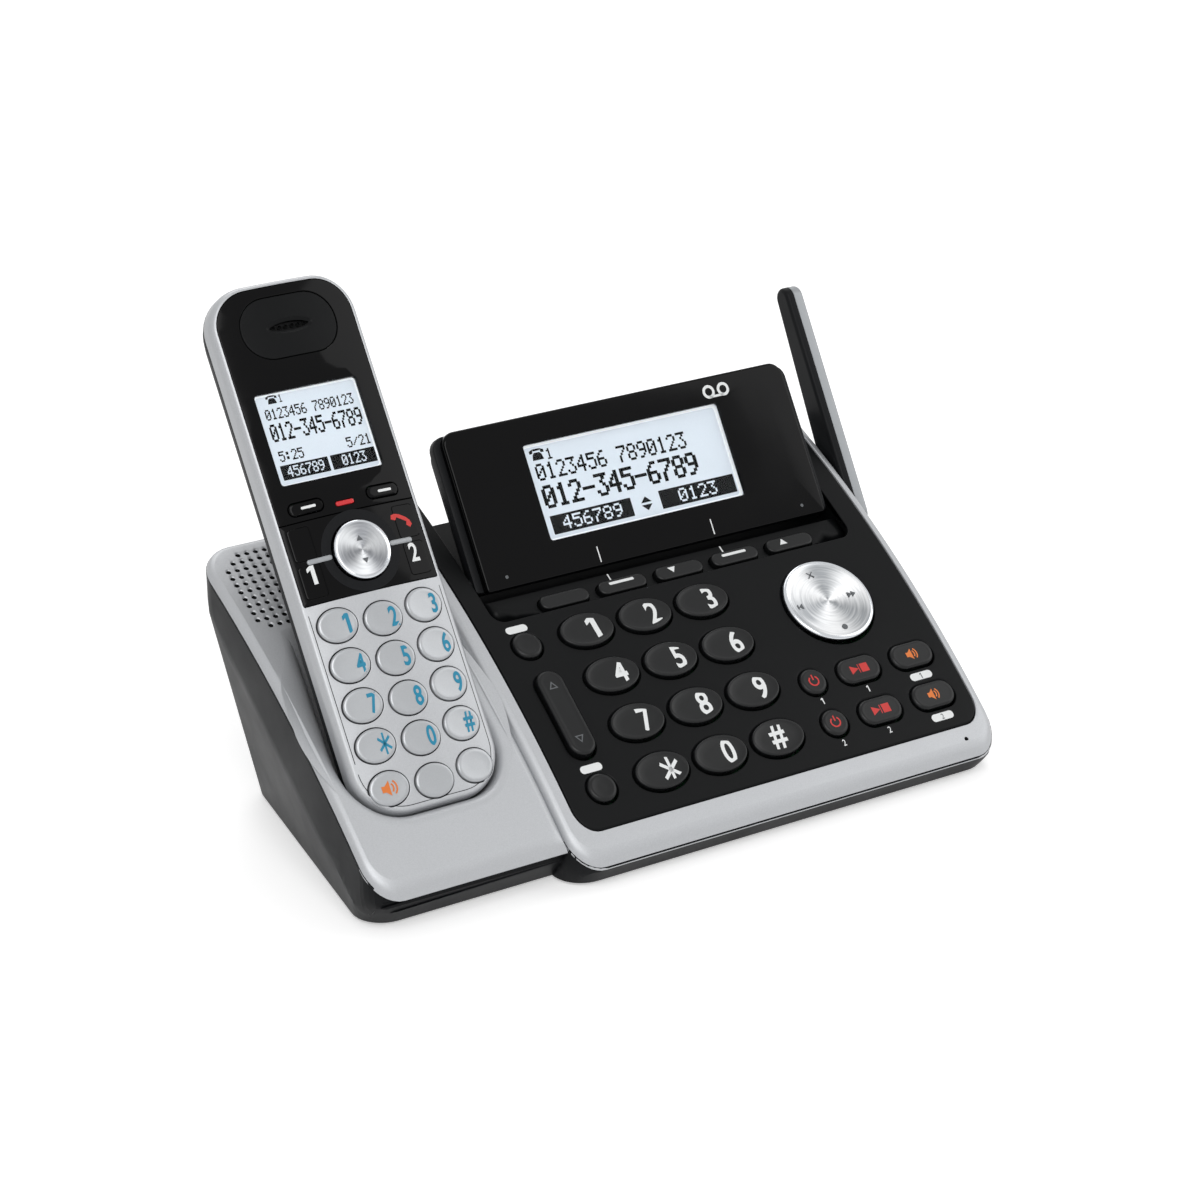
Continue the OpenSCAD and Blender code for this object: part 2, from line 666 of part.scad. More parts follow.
module in_display() translate([disp_x, disp_y, disp_z]) rotate([display_tilt, 0, 0]) children();
function window_pts(g) = box_pts(window_x - window_w/2 - g, window_up - g,
                                 window_x + window_w/2 + g, window_up + window_h + g, [1, 1, 1, 1]);
lens_lap = 1.5;
lens_t = 1.2;
lcd_lap = 3;
lcd_t = 4;

module display_panel() place(gloss) in_display() difference() {
    prism(box_pts(-display_w/2, 0, display_w/2, display_h, [1, 1, 4.5, 4.5]), -bezel_t, 0);
    prism(window_pts(0), -bezel_t - 1, 1);
    prism(window_pts(lens_lap + fit_gap), -bezel_t - 1, lens_t - bezel_t);
}

module display_window() place("#dfe8ec") in_display()
    prism(window_pts(lens_lap), -bezel_t, lens_t - bezel_t);

module display_lcd() place("#cfdde6") in_display()
    prism(window_pts(lcd_lap), -bezel_t - lcd_t, -bezel_t);

module display_back() place(black) difference() {
    in_display() difference() {
        union() {
            prism(box_pts(-display_w/2 - back_wider, 1, display_w/2 + back_wider, display_h - 1,
                          [1, 1, 4.5, 4.5]), -bezel_t - shell_t/2, -bezel_t);
            prism(box_pts(-display_w/2 - back_wider/2, 1, display_w/2 + back_wider/2, display_h - 2.5,
                          [1, 1, 4.5, 4.5]), -bezel_t - shell_t, -bezel_t);
        }
        prism(box_pts(-display_w/2 + 4, window_up - lcd_lap - 0.4, display_w/2 - 4, display_h - 4,
                      [2, 2, 2, 2]),
              -bezel_t - shell_t + 2, 1 - bezel_t);
    }
    hinge_at() translate([disp_x, 0, 0]) for (m = [0, 1]) mirror([m, 0, 0])
        rod_x(hinge_pin_r, display_w/2 - 8, display_w);
}

// Two pins, pressed into the back shell, that turn in the sides of the bay
module display_pivots() place(steel) hinge_at() translate([disp_x, 0, 0]) for (m = [0, 1])
    mirror([m, 0, 0]) rod_x(hinge_pin_r, display_w/2 - 8, display_w/2 + back_wider + 0.8 + plate_t);

// ---- Antenna ----

// Outline of the blade, standing along +Y from the pivot
function blade_pts() = let (a = asin((antenna_root_w - antenna_tip_w)/2/antenna_len), n = 12)
    concat([for (i = [0:n]) let (b = a + (180 - 2*a)*i/n) [tip_r*cos(b), antenna_len + tip_r*sin(b)]],
           [for (i = [0:n]) let (b = 180 - a + (180 + 2*a)*i/n)
               [antenna_root_w/2*cos(b), antenna_root_w/2*sin(b)]]);
module in_antenna() translate([antenna_x, pivot_y, pivot_z]) rotate([antenna_lean - 90, 0, 0])
    rotate([90, 0, 90]) children();

module antenna_front() place(black) in_antenna() difference() {
    linear_extrude(antenna_black_t) polygon(blade_pts());
    rod(pivot_r, -1, antenna_black_t + 1);
}
module antenna_back() place(silver) in_antenna() difference() {
    translate([0, 0, antenna_black_t]) linear_extrude(antenna_silver_t) polygon(blade_pts());
    rod(pivot_r, antenna_black_t - 1, antenna_black_t + 2);
}
// A headed pin, fixed in the blade, that turns in the housing's side
module antenna_pivot() place(steel) translate([0, pivot_y, pivot_z]) {
    rod_x(pivot_r, right_x - 7, antenna_x + antenna_black_t + 2);
    rod_x(pivot_r + 1.5, right_x - 7, right_x - 5.3);
}

// ---- Handset ----

hs_top = handset_l - hs_below;
hs_face_w = handset_w - 4;
face_line = 25.8;                          // where the black faceplate begins
module hs_outline(g, t = 0) box2d(-handset_w/2 + g, -hs_below + g, handset_w/2 - g, hs_top - g,
    [hs_front_r - g, hs_front_r - g, hs_top_r - g, hs_top_r - g]);
module crown(h, w0, w1, v0, v1) intersection() {
    translate([0, v0, 0]) rotate([-90, 0, 0]) translate([0, crown_r - h, 0])
        cylinder(r = crown_r, h = v1 - v0, $fn = arc_fn);
    translate([-w1/2, v0, w0]) cube([w1, v1 - v0, 30]);
}

// Cross-section of the silver shell, with its sloping sides
module front_shell(g) intersection() {
    crown(-g, -front_t, handset_w, -hs_below, hs_top);
    translate([0, 0, -front_t]) linear_extrude(front_t + 5) hs_outline(g);
    rotate([90, 0, 0]) translate([0, 0, -tall]) linear_extrude(2*tall) polygon([
        [-handset_w/2 + g, -front_t], [-handset_w/2 + g, -4], [-hs_face_w/2 + g, 0],
        [-hs_face_w/2 + g, 5], [hs_face_w/2 - g, 5], [hs_face_w/2 - g, 0],
        [handset_w/2 - g, -4], [handset_w/2 - g, -front_t]]);
}

hs_digit_w = 12.2;
hs_digit_d = 10.2;
hs_key_gap = 0.3;
hs_flange = 0.6;                           // how far the flanges reach past the handset's keys
hs_key_h = 0.7;
hs_smile = 1.2;                            // the middle column sits a little lower
hs_wall = 1.8;
hs_key_sink = 0.6;                         // travel of the handset's keys
function crown_drop(u) = crown_r - sqrt(pow(crown_r, 2) - pow(u, 2));
module hs_digit_places() for (c = [-1, 0, 1], r = [0:3])
    translate([c*hs_col, (1.5 - r)*hs_row - (c == 0 ? hs_smile : 0), -crown_drop(c*hs_col)])
        rotate([0, asin(c*hs_col/crown_r), 0]) children();
module hs_function_places() for (c = [-1, 0, 1])
    translate([c*hs_col, -31.3 - (c == 0 ? hs_smile : 0), -crown_drop(c*hs_col)])
        rotate([0, asin(c*hs_col/crown_r), 0]) children();
hs_window_w = 33.4;
hs_window_y0 = 62;
hs_window_y1 = 90;
function hs_window_pts(g) = box_pts(-hs_window_w/2 - 0.8 - g, hs_window_y0 - g,
                                    hs_window_w/2 - 0.8 + g, hs_window_y1 + g, [1, 1, 1, 1]);
ear_y = 108.8;
ear_w = 31;
ear_d = 19;
ear_hole_pitch = 2.1;
ear_hole_r = 0.6;
nav_y = 38.3;
soft_y = 54.3;
soft_x = 12.6;
light_y = 53.1;
function hs_soft_pts(g) = pill_pts(10.5 + 2*g, 3.6 + 2*g);
// Black rocker pads beside the navigation key, two on each side
function pad_pts(g) = box_pts(-20.4 - g, 0.8 - g, -13.8 + g, 10.6 + g, [0.8, 0.8, 0.8, 0.8]);
module pad_places() for (m = [0, 1], n = [0, 1]) translate([0, nav_y, 0])
    mirror([m, 0, 0]) mirror([0, n, 0]) children();

module handset_front() place(silver) in_handset() difference() {
    front_shell(0);
    intersection() {                       // hollow behind the silver part
        front_shell(hs_wall);
        translate([-handset_w, -handset_l, -front_t - 1])
            cube([2*handset_w, handset_l + face_line - hs_bar, front_t + 5]);
    }
    // hollow behind the black faceplate, which needs a floor
    translate([0, 0, -front_t - 1]) linear_extrude(front_t + 1 - faceplate_t - hs_floor_t)
        hs_outline(hs_wall);
    // seat of the black faceplate
    intersection() {
        crown(5, -faceplate_t, hs_face_w - 1.6, face_line, hs_top);
        translate([0, 0, -faceplate_t]) linear_extrude(20) hs_outline(2.8);
    }
    hs_digit_places() prism(oval_pts(hs_digit_w + 2*hs_key_gap, hs_digit_d + 2*hs_key_gap), -4, 5);
    hs_function_places()
        prism(oval_pts(hs_digit_w + 2*hs_key_gap, hs_digit_d + 2*hs_key_gap), 0.5 - front_t, 5);
    translate([0, nav_y, 0]) rod(nav_r + hs_flange + 0.6, -6, 5);
    pad_places() prism(pad_pts(hs_flange + 0.4), -6, 5);
    for (x = [-soft_x, soft_x]) translate([x, soft_y, 0]) prism(hs_soft_pts(hs_flange + 0.4), -6, 5);
    prism(hs_window_pts(2.4), -6, 5);
    translate([0, ear_y, 0]) prism(pill_pts(ear_w - 6, ear_d - 5), -6, 5);
    translate([-0.6, light_y, 0]) prism(pill_pts(3.2, 0.8), -6, 5);
}

faceplate_t = 2.6;
hs_floor_t = 1;                            // floor under the faceplate
hs_bar = 1.5;                              // wall between the dial keys and the faceplate's seat
module handset_faceplate() place(gloss) in_handset() difference() {
    intersection() {
        crown(0.1, -faceplate_t, hs_face_w - 1.6 - 2*fit_gap, face_line + fit_gap, hs_top);
        translate([0, 0, -faceplate_t]) linear_extrude(20) hs_outline(2.8 + fit_gap);
    }
    prism(hs_window_pts(0), -6, 5);
    prism(hs_window_pts(1.5), -6, -1.6);
    translate([0, ear_y, 0]) prism(pill_pts(ear_w + 2*fit_gap, ear_d + 2*fit_gap), -6, 5);
    translate([0, nav_y, 0]) rod(nav_r + hs_key_gap, -6, 5);
    pad_places() prism(pad_pts(hs_key_gap), -6, 5);
    for (x = [-soft_x, soft_x]) translate([x, soft_y, 0]) prism(hs_soft_pts(hs_key_gap), -6, 5);
    translate([-0.6, light_y, 0]) prism(pill_pts(4 + 2*fit_gap, 1.2 + 2*fit_gap), -6, 5);
}

module handset_window() place("#dfe8ec") in_handset() prism(hs_window_pts(1.4), -faceplate_t, -1.6);
module handset_lcd() place("#cfdde6") in_handset() prism(hs_window_pts(2), -front_t, -faceplate_t);

// A sunk pad with a row of six sound holes
module earpiece_pad() place("#101113") in_handset() translate([0, ear_y, 0]) difference() {
    prism(pill_pts(ear_w, ear_d), -faceplate_t, -1.5);
    for (i = [0:5]) translate([(i - 2.5)*ear_hole_pitch, 0, 0]) rod(ear_hole_r, -6, 5);
}

module charge_light() place("#c02024") in_handset() translate([-0.6, light_y, 0])
    prism(pill_pts(4, 1.2), -faceplate_t, -0.5);

hs_floor = front_t;                        // the seam between the handset's shells
back_pts = [[-hs_below, -hs_floor], [-hs_below, -15], [-hs_below + 7, -handset_t + 3],
            [-hs_below + 16, -handset_t], [hs_top - 60, -handset_t], [hs_top - 18, -handset_t + 3],
            [hs_top - 4, -14], [hs_top, -hs_floor]];
module back_shape(g) intersection() {
    along_x(-handset_w/2 + g, handset_w/2 - g) offset_back(g);
    translate([0, 0, -handset_t]) linear_extrude(handset_t) hs_outline(g);
    rotate([90, 0, 0]) translate([0, 0, -tall]) linear_extrude(2*tall) polygon([
        [-handset_w/2 + g, 0], [-handset_w/2 + g, -10], [-handset_w/2 + 6 + g, -handset_t + g],
        [handset_w/2 - 6 - g, -handset_t + g], [handset_w/2 - g, -10], [handset_w/2 - g, 0]]);
}
module offset_back(g) intersection() {
    polygon(back_pts);
    translate([g, g]) polygon(back_pts);
    translate([-g, g]) polygon(back_pts);
}

battery_x = 15.5;
battery_y0 = -20;
battery_y1 = 30;
battery_t = 8.5;
door_t = 1.6;
module handset_back() place("#2c2e30") in_handset() difference() {
    back_shape(0);
    intersection() {
        back_shape(hs_wall);
        translate([-handset_w/2, -hs_below, -handset_t])
            cube([handset_w, handset_l, handset_t - hs_floor + 1]);
    }
    translate([-battery_x - 1.5, battery_y0 - 2, -handset_t - 1])
        cube([2*battery_x + 3, battery_y1 - battery_y0 + 4, 8]);
    for (x = contact_x) translate([x - contact_w/2 - 0.5, -hs_below - 1, contact_v - contact_t])
        cube([contact_w + 1, 1.2, 2*contact_t]);
}

module battery_door() place("#2c2e30") in_handset() difference() {
    translate([-battery_x - 1.35, battery_y0 - 1.85, -handset_t])
        cube([2*battery_x + 2.7, battery_y1 - battery_y0 + 3.7, door_t]);
    for (i = [0:4]) translate([-6, battery_y1 - 6 + i*1.6, -handset_t - 0.4]) cube([12, 0.7, 0.8]);
}

module battery_pack() place("#3f7a4a") in_handset() for (m = [0, 1]) mirror([m, 0, 0])
    translate([battery_x/2, battery_y0, -handset_t + door_t + battery_t/2]) rotate([-90, 0, 0])
        cylinder(r = battery_t/2, h = battery_y1 - battery_y0, $fn = 48);

// The handset's board has a dome switch under each key
hs_board_t = 1.2;
hs_key_low = -3.6;                         // lower side of the keys' flanges
dome_r = 1.8;
dome_h = front_t + hs_key_low - hs_key_sink - 1.3;
module dome() rod(dome_r, -eps, dome_h);
module handset_board() place("#2f6b3c") in_handset() translate([0, 0, -front_t]) {
    translate([-handset_w/2 + 4, -hs_below + 8, -hs_board_t])
        cube([handset_w - 8, handset_l - 22, hs_board_t]);
    for (c = [-1, 0, 1], r = [0:3]) translate([c*hs_col, (1.5 - r)*hs_row, 0]) dome();
    for (c = [-0.95, 0, 0.95]) translate([c*hs_col, -30, 0]) rod(dome_r - 0.6, -eps, dome_h);
    for (x = [-soft_x, soft_x]) translate([x, soft_y, 0]) dome();
    for (x = [-17.1, 17.1], y = [-5.7, 5.7]) translate([x, nav_y + y, 0]) dome();
    translate([0, nav_y, 0]) dome();
}

// The handset's keys have a flange each under the shell or the faceplate
module hs_cap(pts, flange, top) {
    prism(pts, hs_key_low, top);
    prism(flange, hs_key_low, hs_key_low + 0.8);
}
module hs_digit() hs_cap(oval_pts(hs_digit_w, hs_digit_d),
    oval_pts(hs_digit_w + 2*hs_flange, hs_digit_d + 2*hs_flange), hs_key_h);
module handset_dial_keys() place("#c5c8cb") in_handset() hs_digit_places() hs_digit();
// The flanges of the lowest row follow the rounded end of the shell
module handset_function_keys() place("#c5c8cb") in_handset() {
    hs_function_places() prism(oval_pts(hs_digit_w, hs_digit_d), hs_key_low, hs_key_h);
    intersection() {
        hs_function_places() hs_digit();
        translate([0, 0, -front_t]) linear_extrude(front_t) hs_outline(hs_wall + hs_key_gap);
    }
}
module handset_soft_keys() place(gloss) in_handset() for (x = [-soft_x, soft_x])
    translate([x, soft_y, 0]) hs_cap(hs_soft_pts(0), hs_soft_pts(hs_flange), 0.3);
module handset_line_keys() place(gloss) in_handset() pad_places()
    hs_cap(pad_pts(0), pad_pts(hs_flange), -0.5);
module handset_nav_key() place(steel) in_handset() translate([0, nav_y, 0]) {
    rod(nav_r, hs_key_low, 1.6);
    rod(nav_r + hs_flange, hs_key_low, hs_key_low + 0.8);
}

// ---- Choice of node ----

base_bottom();
cradle_cover();
console_frame();
key_panel();
main_board();
base_speaker();
charge_contacts();
jack_block();
rubber_feet();
case_screws();
display_back();
display_panel();
display_lcd();
display_window();
display_pivots();
antenna_front();
antenna_back();
antenna_pivot();
handset_back();
handset_front();
handset_faceplate();
handset_lcd();
handset_window();
earpiece_pad();
handset_board();
battery_pack();
battery_door();
charge_light();
handset_dial_keys();
handset_function_keys();
handset_soft_keys();
handset_line_keys();
handset_nav_key();
hold_key();
flash_key();
volume_rocker();
answer_key_1();
answer_key_2();
mailbox_key_1();
mailbox_key_2();
line_key_1();
line_key_2();
four_way_dial();
for (i = [0:11]) digit_key(i);
for (i = [0:4]) soft_key(i);
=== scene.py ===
from math import asin, cos, degrees, pi, radians, sin, sqrt, tan

import bmesh
import bpy
from mathutils import Matrix, Vector
from mathutils.geometry import delaunay_2d_cdt


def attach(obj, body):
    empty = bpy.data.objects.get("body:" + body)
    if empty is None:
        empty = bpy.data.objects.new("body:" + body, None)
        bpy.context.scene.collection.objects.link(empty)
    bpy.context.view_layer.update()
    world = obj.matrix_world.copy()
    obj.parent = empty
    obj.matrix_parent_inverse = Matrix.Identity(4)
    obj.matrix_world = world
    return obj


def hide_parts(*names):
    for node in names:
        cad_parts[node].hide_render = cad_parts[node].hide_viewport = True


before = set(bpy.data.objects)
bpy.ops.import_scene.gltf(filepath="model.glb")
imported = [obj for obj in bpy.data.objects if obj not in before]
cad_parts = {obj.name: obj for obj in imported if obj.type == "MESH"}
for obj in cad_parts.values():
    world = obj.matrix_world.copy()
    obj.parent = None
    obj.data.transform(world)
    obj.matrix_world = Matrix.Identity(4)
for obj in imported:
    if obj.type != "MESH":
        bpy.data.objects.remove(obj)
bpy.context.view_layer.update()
scene = bpy.context.scene

# Millimetres, measured from the middle of the base's keypad: x right, y back, z up from the table.
# s runs up the slope of the arched top, h stands out of it.
base = {"left": -110, "right": 110, "seam": -46.6, "consoleReach": 36.9, "cradleReach": 30.8,
        "rear": 80, "keyHeight": 40, "slope": 35.25, "arc": 386,
        "middle": (3.5, 27.9), "cornerFront": 9.5, "cornerRear": 11}
arcY = base["arc"]*sin(radians(base["slope"]))
arcZ = base["keyHeight"] - base["arc"]*cos(radians(base["slope"]))


def row(x, y, z):
    return Vector(((x - base["middle"][0])/1000, (y - base["middle"][1])/1000, z/1000))


def slopeAt(s):
    return base["slope"] - degrees(s/base["arc"])


def sAtY(y, h=0):
    return radians(base["slope"] - degrees(asin((arcY - y)/(base["arc"] + h))))*base["arc"]


def topAtS(s, h=0):  # y and z
    a = radians(slopeAt(s))
    return arcY - (base["arc"] + h)*sin(a), arcZ + (base["arc"] + h)*cos(a)


def yAtS(s):
    return topAtS(s)[0]


def topZ(y, h=0):
    return arcZ + sqrt((base["arc"] + h)**2 - (y - arcY)**2)


def onPlan(x, y, h):  # above the plan point x, y, at height h over the arched top
    return row(x, y, topZ(y, h))


def onSlope(x, s, h):
    return row(x, *topAtS(s, h))


def tilted(x, y, z, angle):  # a frame with u to the right, v up the tilt, w out of it
    a = radians(angle)
    return lambda u, v, w: row(x + u, y + v*cos(a) - w*sin(a), z + v*sin(a) + w*cos(a))


def keyPlace(x, s):
    return tilted(x, *topAtS(s), slopeAt(s))


# ---- outlines, all counter-clockwise ----

def corner(x, y, r, start, n):
    return [(x + r*cos(radians(start + 90*i/n)), y + r*sin(radians(start + 90*i/n)))
            for i in range(n + 1)]


def frontCorners(left, right, front, r, inset=0, n=8):  # from left to right
    return (corner(left + r, front + r, r - inset, 180, n)
            + corner(right - r, front + r, r - inset, 270, n))


def barLoop(x0, y0, x1, y1):
    return [(x0, y0), (x1, y0), (x1, y1), (x0, y1)]


def boxLoop(x0, y0, x1, y1, radii, n=8):  # one radius, or four from the lower left round
    a, b, c, d = radii if isinstance(radii, tuple) else (radii,)*4
    return (corner(x0 + a, y0 + a, a, 180, n) + corner(x1 - b, y0 + b, b, 270, n)
            + corner(x1 - c, y1 - c, c, 0, n) + corner(x0 + d, y1 - d, d, 90, n))


def ovalLoop(w, d, x=0, y=0, n=48):
    return [(x + w/2*cos(2*pi*i/n), y + d/2*sin(2*pi*i/n)) for i in range(n)]


def pillLoop(w, d, x=0, y=0, n=10):  # a short straight in the middle of each end keeps caps from folding
    return boxLoop(x - w/2, y - d/2, x + w/2, y + d/2, min(w, d)/2 - 0.08, n)


def grown(box, d):
    x0, y0, x1, y1 = box
    return x0 - d, y0 - d, x1 + d, y1 + d


def moved(loop, x, y, k=1):
    return [(x + k*p[0], y + k*p[1]) for p in loop]


def counterClockwise(loop):
    area = sum(a[0]*b[1] - b[0]*a[1] for a, b in zip(loop, loop[1:] + loop[:1]))
    return loop if area > 0 else loop[::-1]


def resample(loop, step):  # points along long straights, so that they can follow the arch
    out = []
    for i, p in enumerate(loop):
        q = loop[(i + 1) % len(loop)]
        n = max(1, round(sqrt((p[0] - q[0])**2 + (p[1] - q[1])**2)/step))
        out += [(p[0] + (q[0] - p[0])*k/n, p[1] + (q[1] - p[1])*k/n) for k in range(n)]
    return out


def shrink(loop, d):  # moves the outline inward by d, or outward where d is negative
    if d == 0:
        return list(loop)
    amounts = d if isinstance(d, list) else [d]*len(loop)
    out = []
    for i, (p, d) in enumerate(zip(loop, amounts)):
        a, b = loop[i - 1], loop[(i + 1) % len(loop)]
        e = Vector((p[0] - a[0], p[1] - a[1])).normalized()
        f = Vector((b[0] - p[0], b[1] - p[1])).normalized()
        m = Vector((-e.y - f.y, e.x + f.x))
        k = d/max(0.3, 1 + e.dot(f))
        out.append((p[0] + m.x*k, p[1] + m.y*k))
    return out


def stacked(loop, edge):  # the outline at each (inset, height)
    return [[(p[0], p[1], h) for p in shrink(loop, d)] for d, h in edge]


def roundEdge(r, bottom, top=0, n=4):  # (inset, height) from the top round to the side and down
    turn = [(r*(1 - sin(pi/2*k/n)), top - r*(1 - cos(pi/2*k/n))) for k in range(n + 1)]
    return turn + [(0, bottom)]


def isInside(p, loop):
    x, y = p
    hit = False
    for i, a in enumerate(loop):
        b = loop[i - 1]
        if (a[1] > y) != (b[1] > y) and x < (b[0] - a[0])*(y - a[1])/(b[1] - a[1]) + a[0]:
            hit = not hit
    return hit


# ---- shapes: lists of points and faces, each face with the number of its material ----

def newShape():
    return {"points": [], "faces": [], "kinds": []}


def addFaces(shape, points, faces, kind=0, flip=False):
    n = len(shape["points"])
    shape["points"] += points
    for f in faces:
        f = [n + i for i in f]
        shape["faces"].append(f[::-1] if flip else f)
        shape["kinds"].append(kind)


def addPlate(shape, place, outer, edge, holes=(), kind=0, step=5, under=True, flip=False, wall=None):
    # each edge is a list of (inset, height) from the flat top down; wall is the kind of the holes' walls
    loops = [shrink(outer, edge[0][0])] + [shrink(loop, -e[0][0]) for loop, e in holes]
    flat, rings = [], []
    for loop in loops:
        rings.append(list(range(len(flat), len(flat) + len(loop))))
        flat += loop
    xs, ys = [p[0] for p in loops[0]], [p[1] for p in loops[0]]
    margin = [shrink(loops[0], step*0.3)] + [shrink(loop, -step*0.3) for loop in loops[1:]]
    boxes = [(min(p[0] for p in m), max(p[0] for p in m), min(p[1] for p in m), max(p[1] for p in m))
             for m in margin]
    grid = []
    for i in range(1, int((max(xs) - min(xs))/step) + 1):
        for j in range(1, int((max(ys) - min(ys))/step) + 1):
            p = (min(xs) + i*step, min(ys) + (j + 0.5*(i % 2))*step)
            if isInside(p, margin[0]) and not any(
                    b[0] < p[0] < b[1] and b[2] < p[1] < b[3] and isInside(p, m)
                    for b, m in zip(boxes[1:], margin[1:])):
                grid.append(p)
    made, _, tris, source, _, owners = delaunay_2d_cdt(
        [Vector(p) for p in flat + grid], [], rings, 0, 1e-6)
    where = {k: i for i, ks in enumerate(source) for k in ks}
    rings = [[where[k] for k in ring] for ring in rings]
    tris = [list(t) for t, o in zip(tris, owners) if list(o) == [0]]
    points = [place(p.x, p.y, edge[0][1]) for p in made]
    faces, last, walls = list(tris), {}, []
    for n, (ring, loop, e) in enumerate(zip(rings, [outer] + [h[0] for h in holes],
                                            [edge] + [h[1] for h in holes])):
        above = ring
        for k, (d, h) in enumerate(e[1:], 2):
            below = range(len(points), len(points) + len(loop))
            points += [place(p[0], p[1], h) for p in shrink(loop, d if n == 0 else -d)]
            for i in range(len(loop)):
                j = (i + 1) % len(loop)
                quad = [above[i], below[i], below[j], above[j]]
                if n and k == len(e):
                    walls.append(len(shape["faces"]) + len(faces))
                faces.append(quad if n == 0 else quad[::-1])
            above = list(below)
        last.update(zip(ring, above))
    if under:
        low = edge[-1][1]
        inner = {}
        for t in tris:
            for i in t:
                if i not in last and i not in inner:
                    inner[i] = len(points)
                    points.append(place(made[i].x, made[i].y, low))
        faces += [[last.get(i, inner.get(i)) for i in t][::-1] for t in tris]
    addFaces(shape, points, faces, kind, flip)
    if wall is not None:
        for i in walls:
            shape["kinds"][i] = wall


def addLoft(shape, place, loops, kind=0, closed=True, startCap=False, endCap=False, flip=False):
    n = len(loops[0])
    points = [place(*p) for loop in loops for p in loop]
    faces = []
    for k in range(len(loops) - 1):
        for i in range(n if closed else n - 1):
            j = (i + 1) % n
            faces.append([k*n + i, k*n + j, (k + 1)*n + j, (k + 1)*n + i])
    if startCap:
        faces.append(list(range(n))[::-1])
    if endCap:
        faces.append([(len(loops) - 1)*n + i for i in range(n)])
    addFaces(shape, points, faces, kind, flip)


def addCap(shape, place, loop, edge, kind=0, under=True):  # edge goes from the foot up to the middle
    edge = edge + [(edge[-1][0] + 0.2, edge[-1][1])]  # a level ring keeps the middle's shading flat
    addLoft(shape, place, stacked(loop, edge), kind, startCap=under, endCap=True)


def addFlat(shape, place, loop, h, kind):
    addFaces(shape, [place(p[0], p[1], h) for p in loop], [list(range(len(loop)))], kind)


def addRing(shape, place, x, y, r0, r1, start, end, h, kind, n=24):
    angles = [radians(start + (end - start)*i/n) for i in range(n + 1)]
    for a, b in zip(angles, angles[1:]):
        addFlat(shape, place, [(x + r0*cos(a), y + r0*sin(a)), (x + r1*cos(a), y + r1*sin(a)),
                               (x + r1*cos(b), y + r1*sin(b)), (x + r0*cos(b), y + r0*sin(b))], h, kind)


def addRim(shape, place, loop, width, h, kind):
    inner = shrink(loop, width)
    for i, p in enumerate(loop):
        addFlat(shape, place, [loop[i - 1], p, inner[i], inner[i - 1]], h, kind)


glyphs = {}
digitRise = 0.73  # height of a digit in the font's unit


def drawGlyph(text, bold):  # points and faces about the middle of a sign
    if text == "1":  # a stem and a flag, since the font has a bare bar
        b, top = bold*2.4, digitRise/2
        stem = barLoop(-0.02 - b, -top, 0.08 + b, top)
        return (stem + [(-0.2 - b, 0.24 + b/2), (-0.2 - b, 0.14 - b/2), (-0.02 - b, 0.235 - b/2)],
                [[0, 1, 2, 3], [3, 4, 5, 6]])
    if text == "*":  # three crossing bars
        bars = [(0.4*cos(radians(a)), 0.4*sin(radians(a)), -0.055*sin(radians(a)), 0.055*cos(radians(a)))
                for a in (90, 34, -34)]
        return ([(i*x + j*u, i*y + j*v) for x, y, u, v in bars for i, j in barLoop(-1, -1, 1, 1)],
                [[4*n + i for i in range(4)] for n in range(3)])
    curve = bpy.data.curves.new("legend", "FONT")
    curve.body, curve.size, curve.offset = text, 1, bold
    curve.align_x, curve.align_y = "CENTER", "CENTER"
    curve.resolution_u = 6
    holder = bpy.data.objects.new("legend", curve)
    scene.collection.objects.link(holder)
    bpy.context.view_layer.update()
    mesh = bpy.data.meshes.new_from_object(holder.evaluated_get(bpy.context.evaluated_depsgraph_get()))
    xs, ys = [v.co.x for v in mesh.vertices], [v.co.y for v in mesh.vertices]
    midX, midY = (min(xs) + max(xs))/2, (min(ys) + max(ys))/2
    glyph = ([(x - midX, y - midY) for x, y in zip(xs, ys)], [list(f.vertices) for f in mesh.polygons])
    bpy.data.objects.remove(holder)
    bpy.data.meshes.remove(mesh)
    bpy.data.curves.remove(curve)
    return glyph


def addText(shape, place, text, x, y, h, size, kind, squeeze=0.8, bold=0.012):  # size is a digit's height
    if (text, bold) not in glyphs:
        glyphs[text, bold] = drawGlyph(text, bold)
    points, faces = glyphs[text, bold]
    k = size/digitRise
    addFaces(shape, [place(x + k*squeeze*p[0], y + k*p[1], h) for p in points], faces, kind)


sharpAngle = 34  # degrees between two faces, from which on their edge isn't shaded round


def finishPiece(work, mesh, name, body, nodes):
    for f in work.faces:
        f.smooth = True
    for e in work.edges:
        if len(e.link_faces) == 2:
            a, b = e.link_faces
            if e.calc_face_angle(0) > radians(sharpAngle) or a.material_index != b.material_index:
                e.smooth = False
    work.to_mesh(mesh)
    work.free()
    piece = bpy.data.objects.new(name, mesh)
    scene.collection.objects.link(piece)
    piece.modifiers.new("even shading", "WEIGHTED_NORMAL").keep_sharp = True
    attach(piece, body)
    if nodes:
        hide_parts(*nodes)


def makePiece(shape, name, materials, body, slot, *nodes):
    mesh = bpy.data.meshes.new(name)
    mesh.from_pydata(shape["points"], [], shape["faces"])
    for material in materials:
        mesh.materials.append(material)
    mesh.polygons.foreach_set("material_index", shape["kinds"])
    if "uvs" in shape:
        layer = mesh.uv_layers.new(name="turned")
        for loop in mesh.loops:
            layer.data[loop.index].uv = shape["uvs"][loop.vertex_index]
    work = bmesh.new()
    work.from_mesh(mesh)
    if "uvs" not in shape:
        bmesh.ops.remove_doubles(work, verts=work.verts, dist=2e-7)
    finishPiece(work, mesh, name, body, nodes)


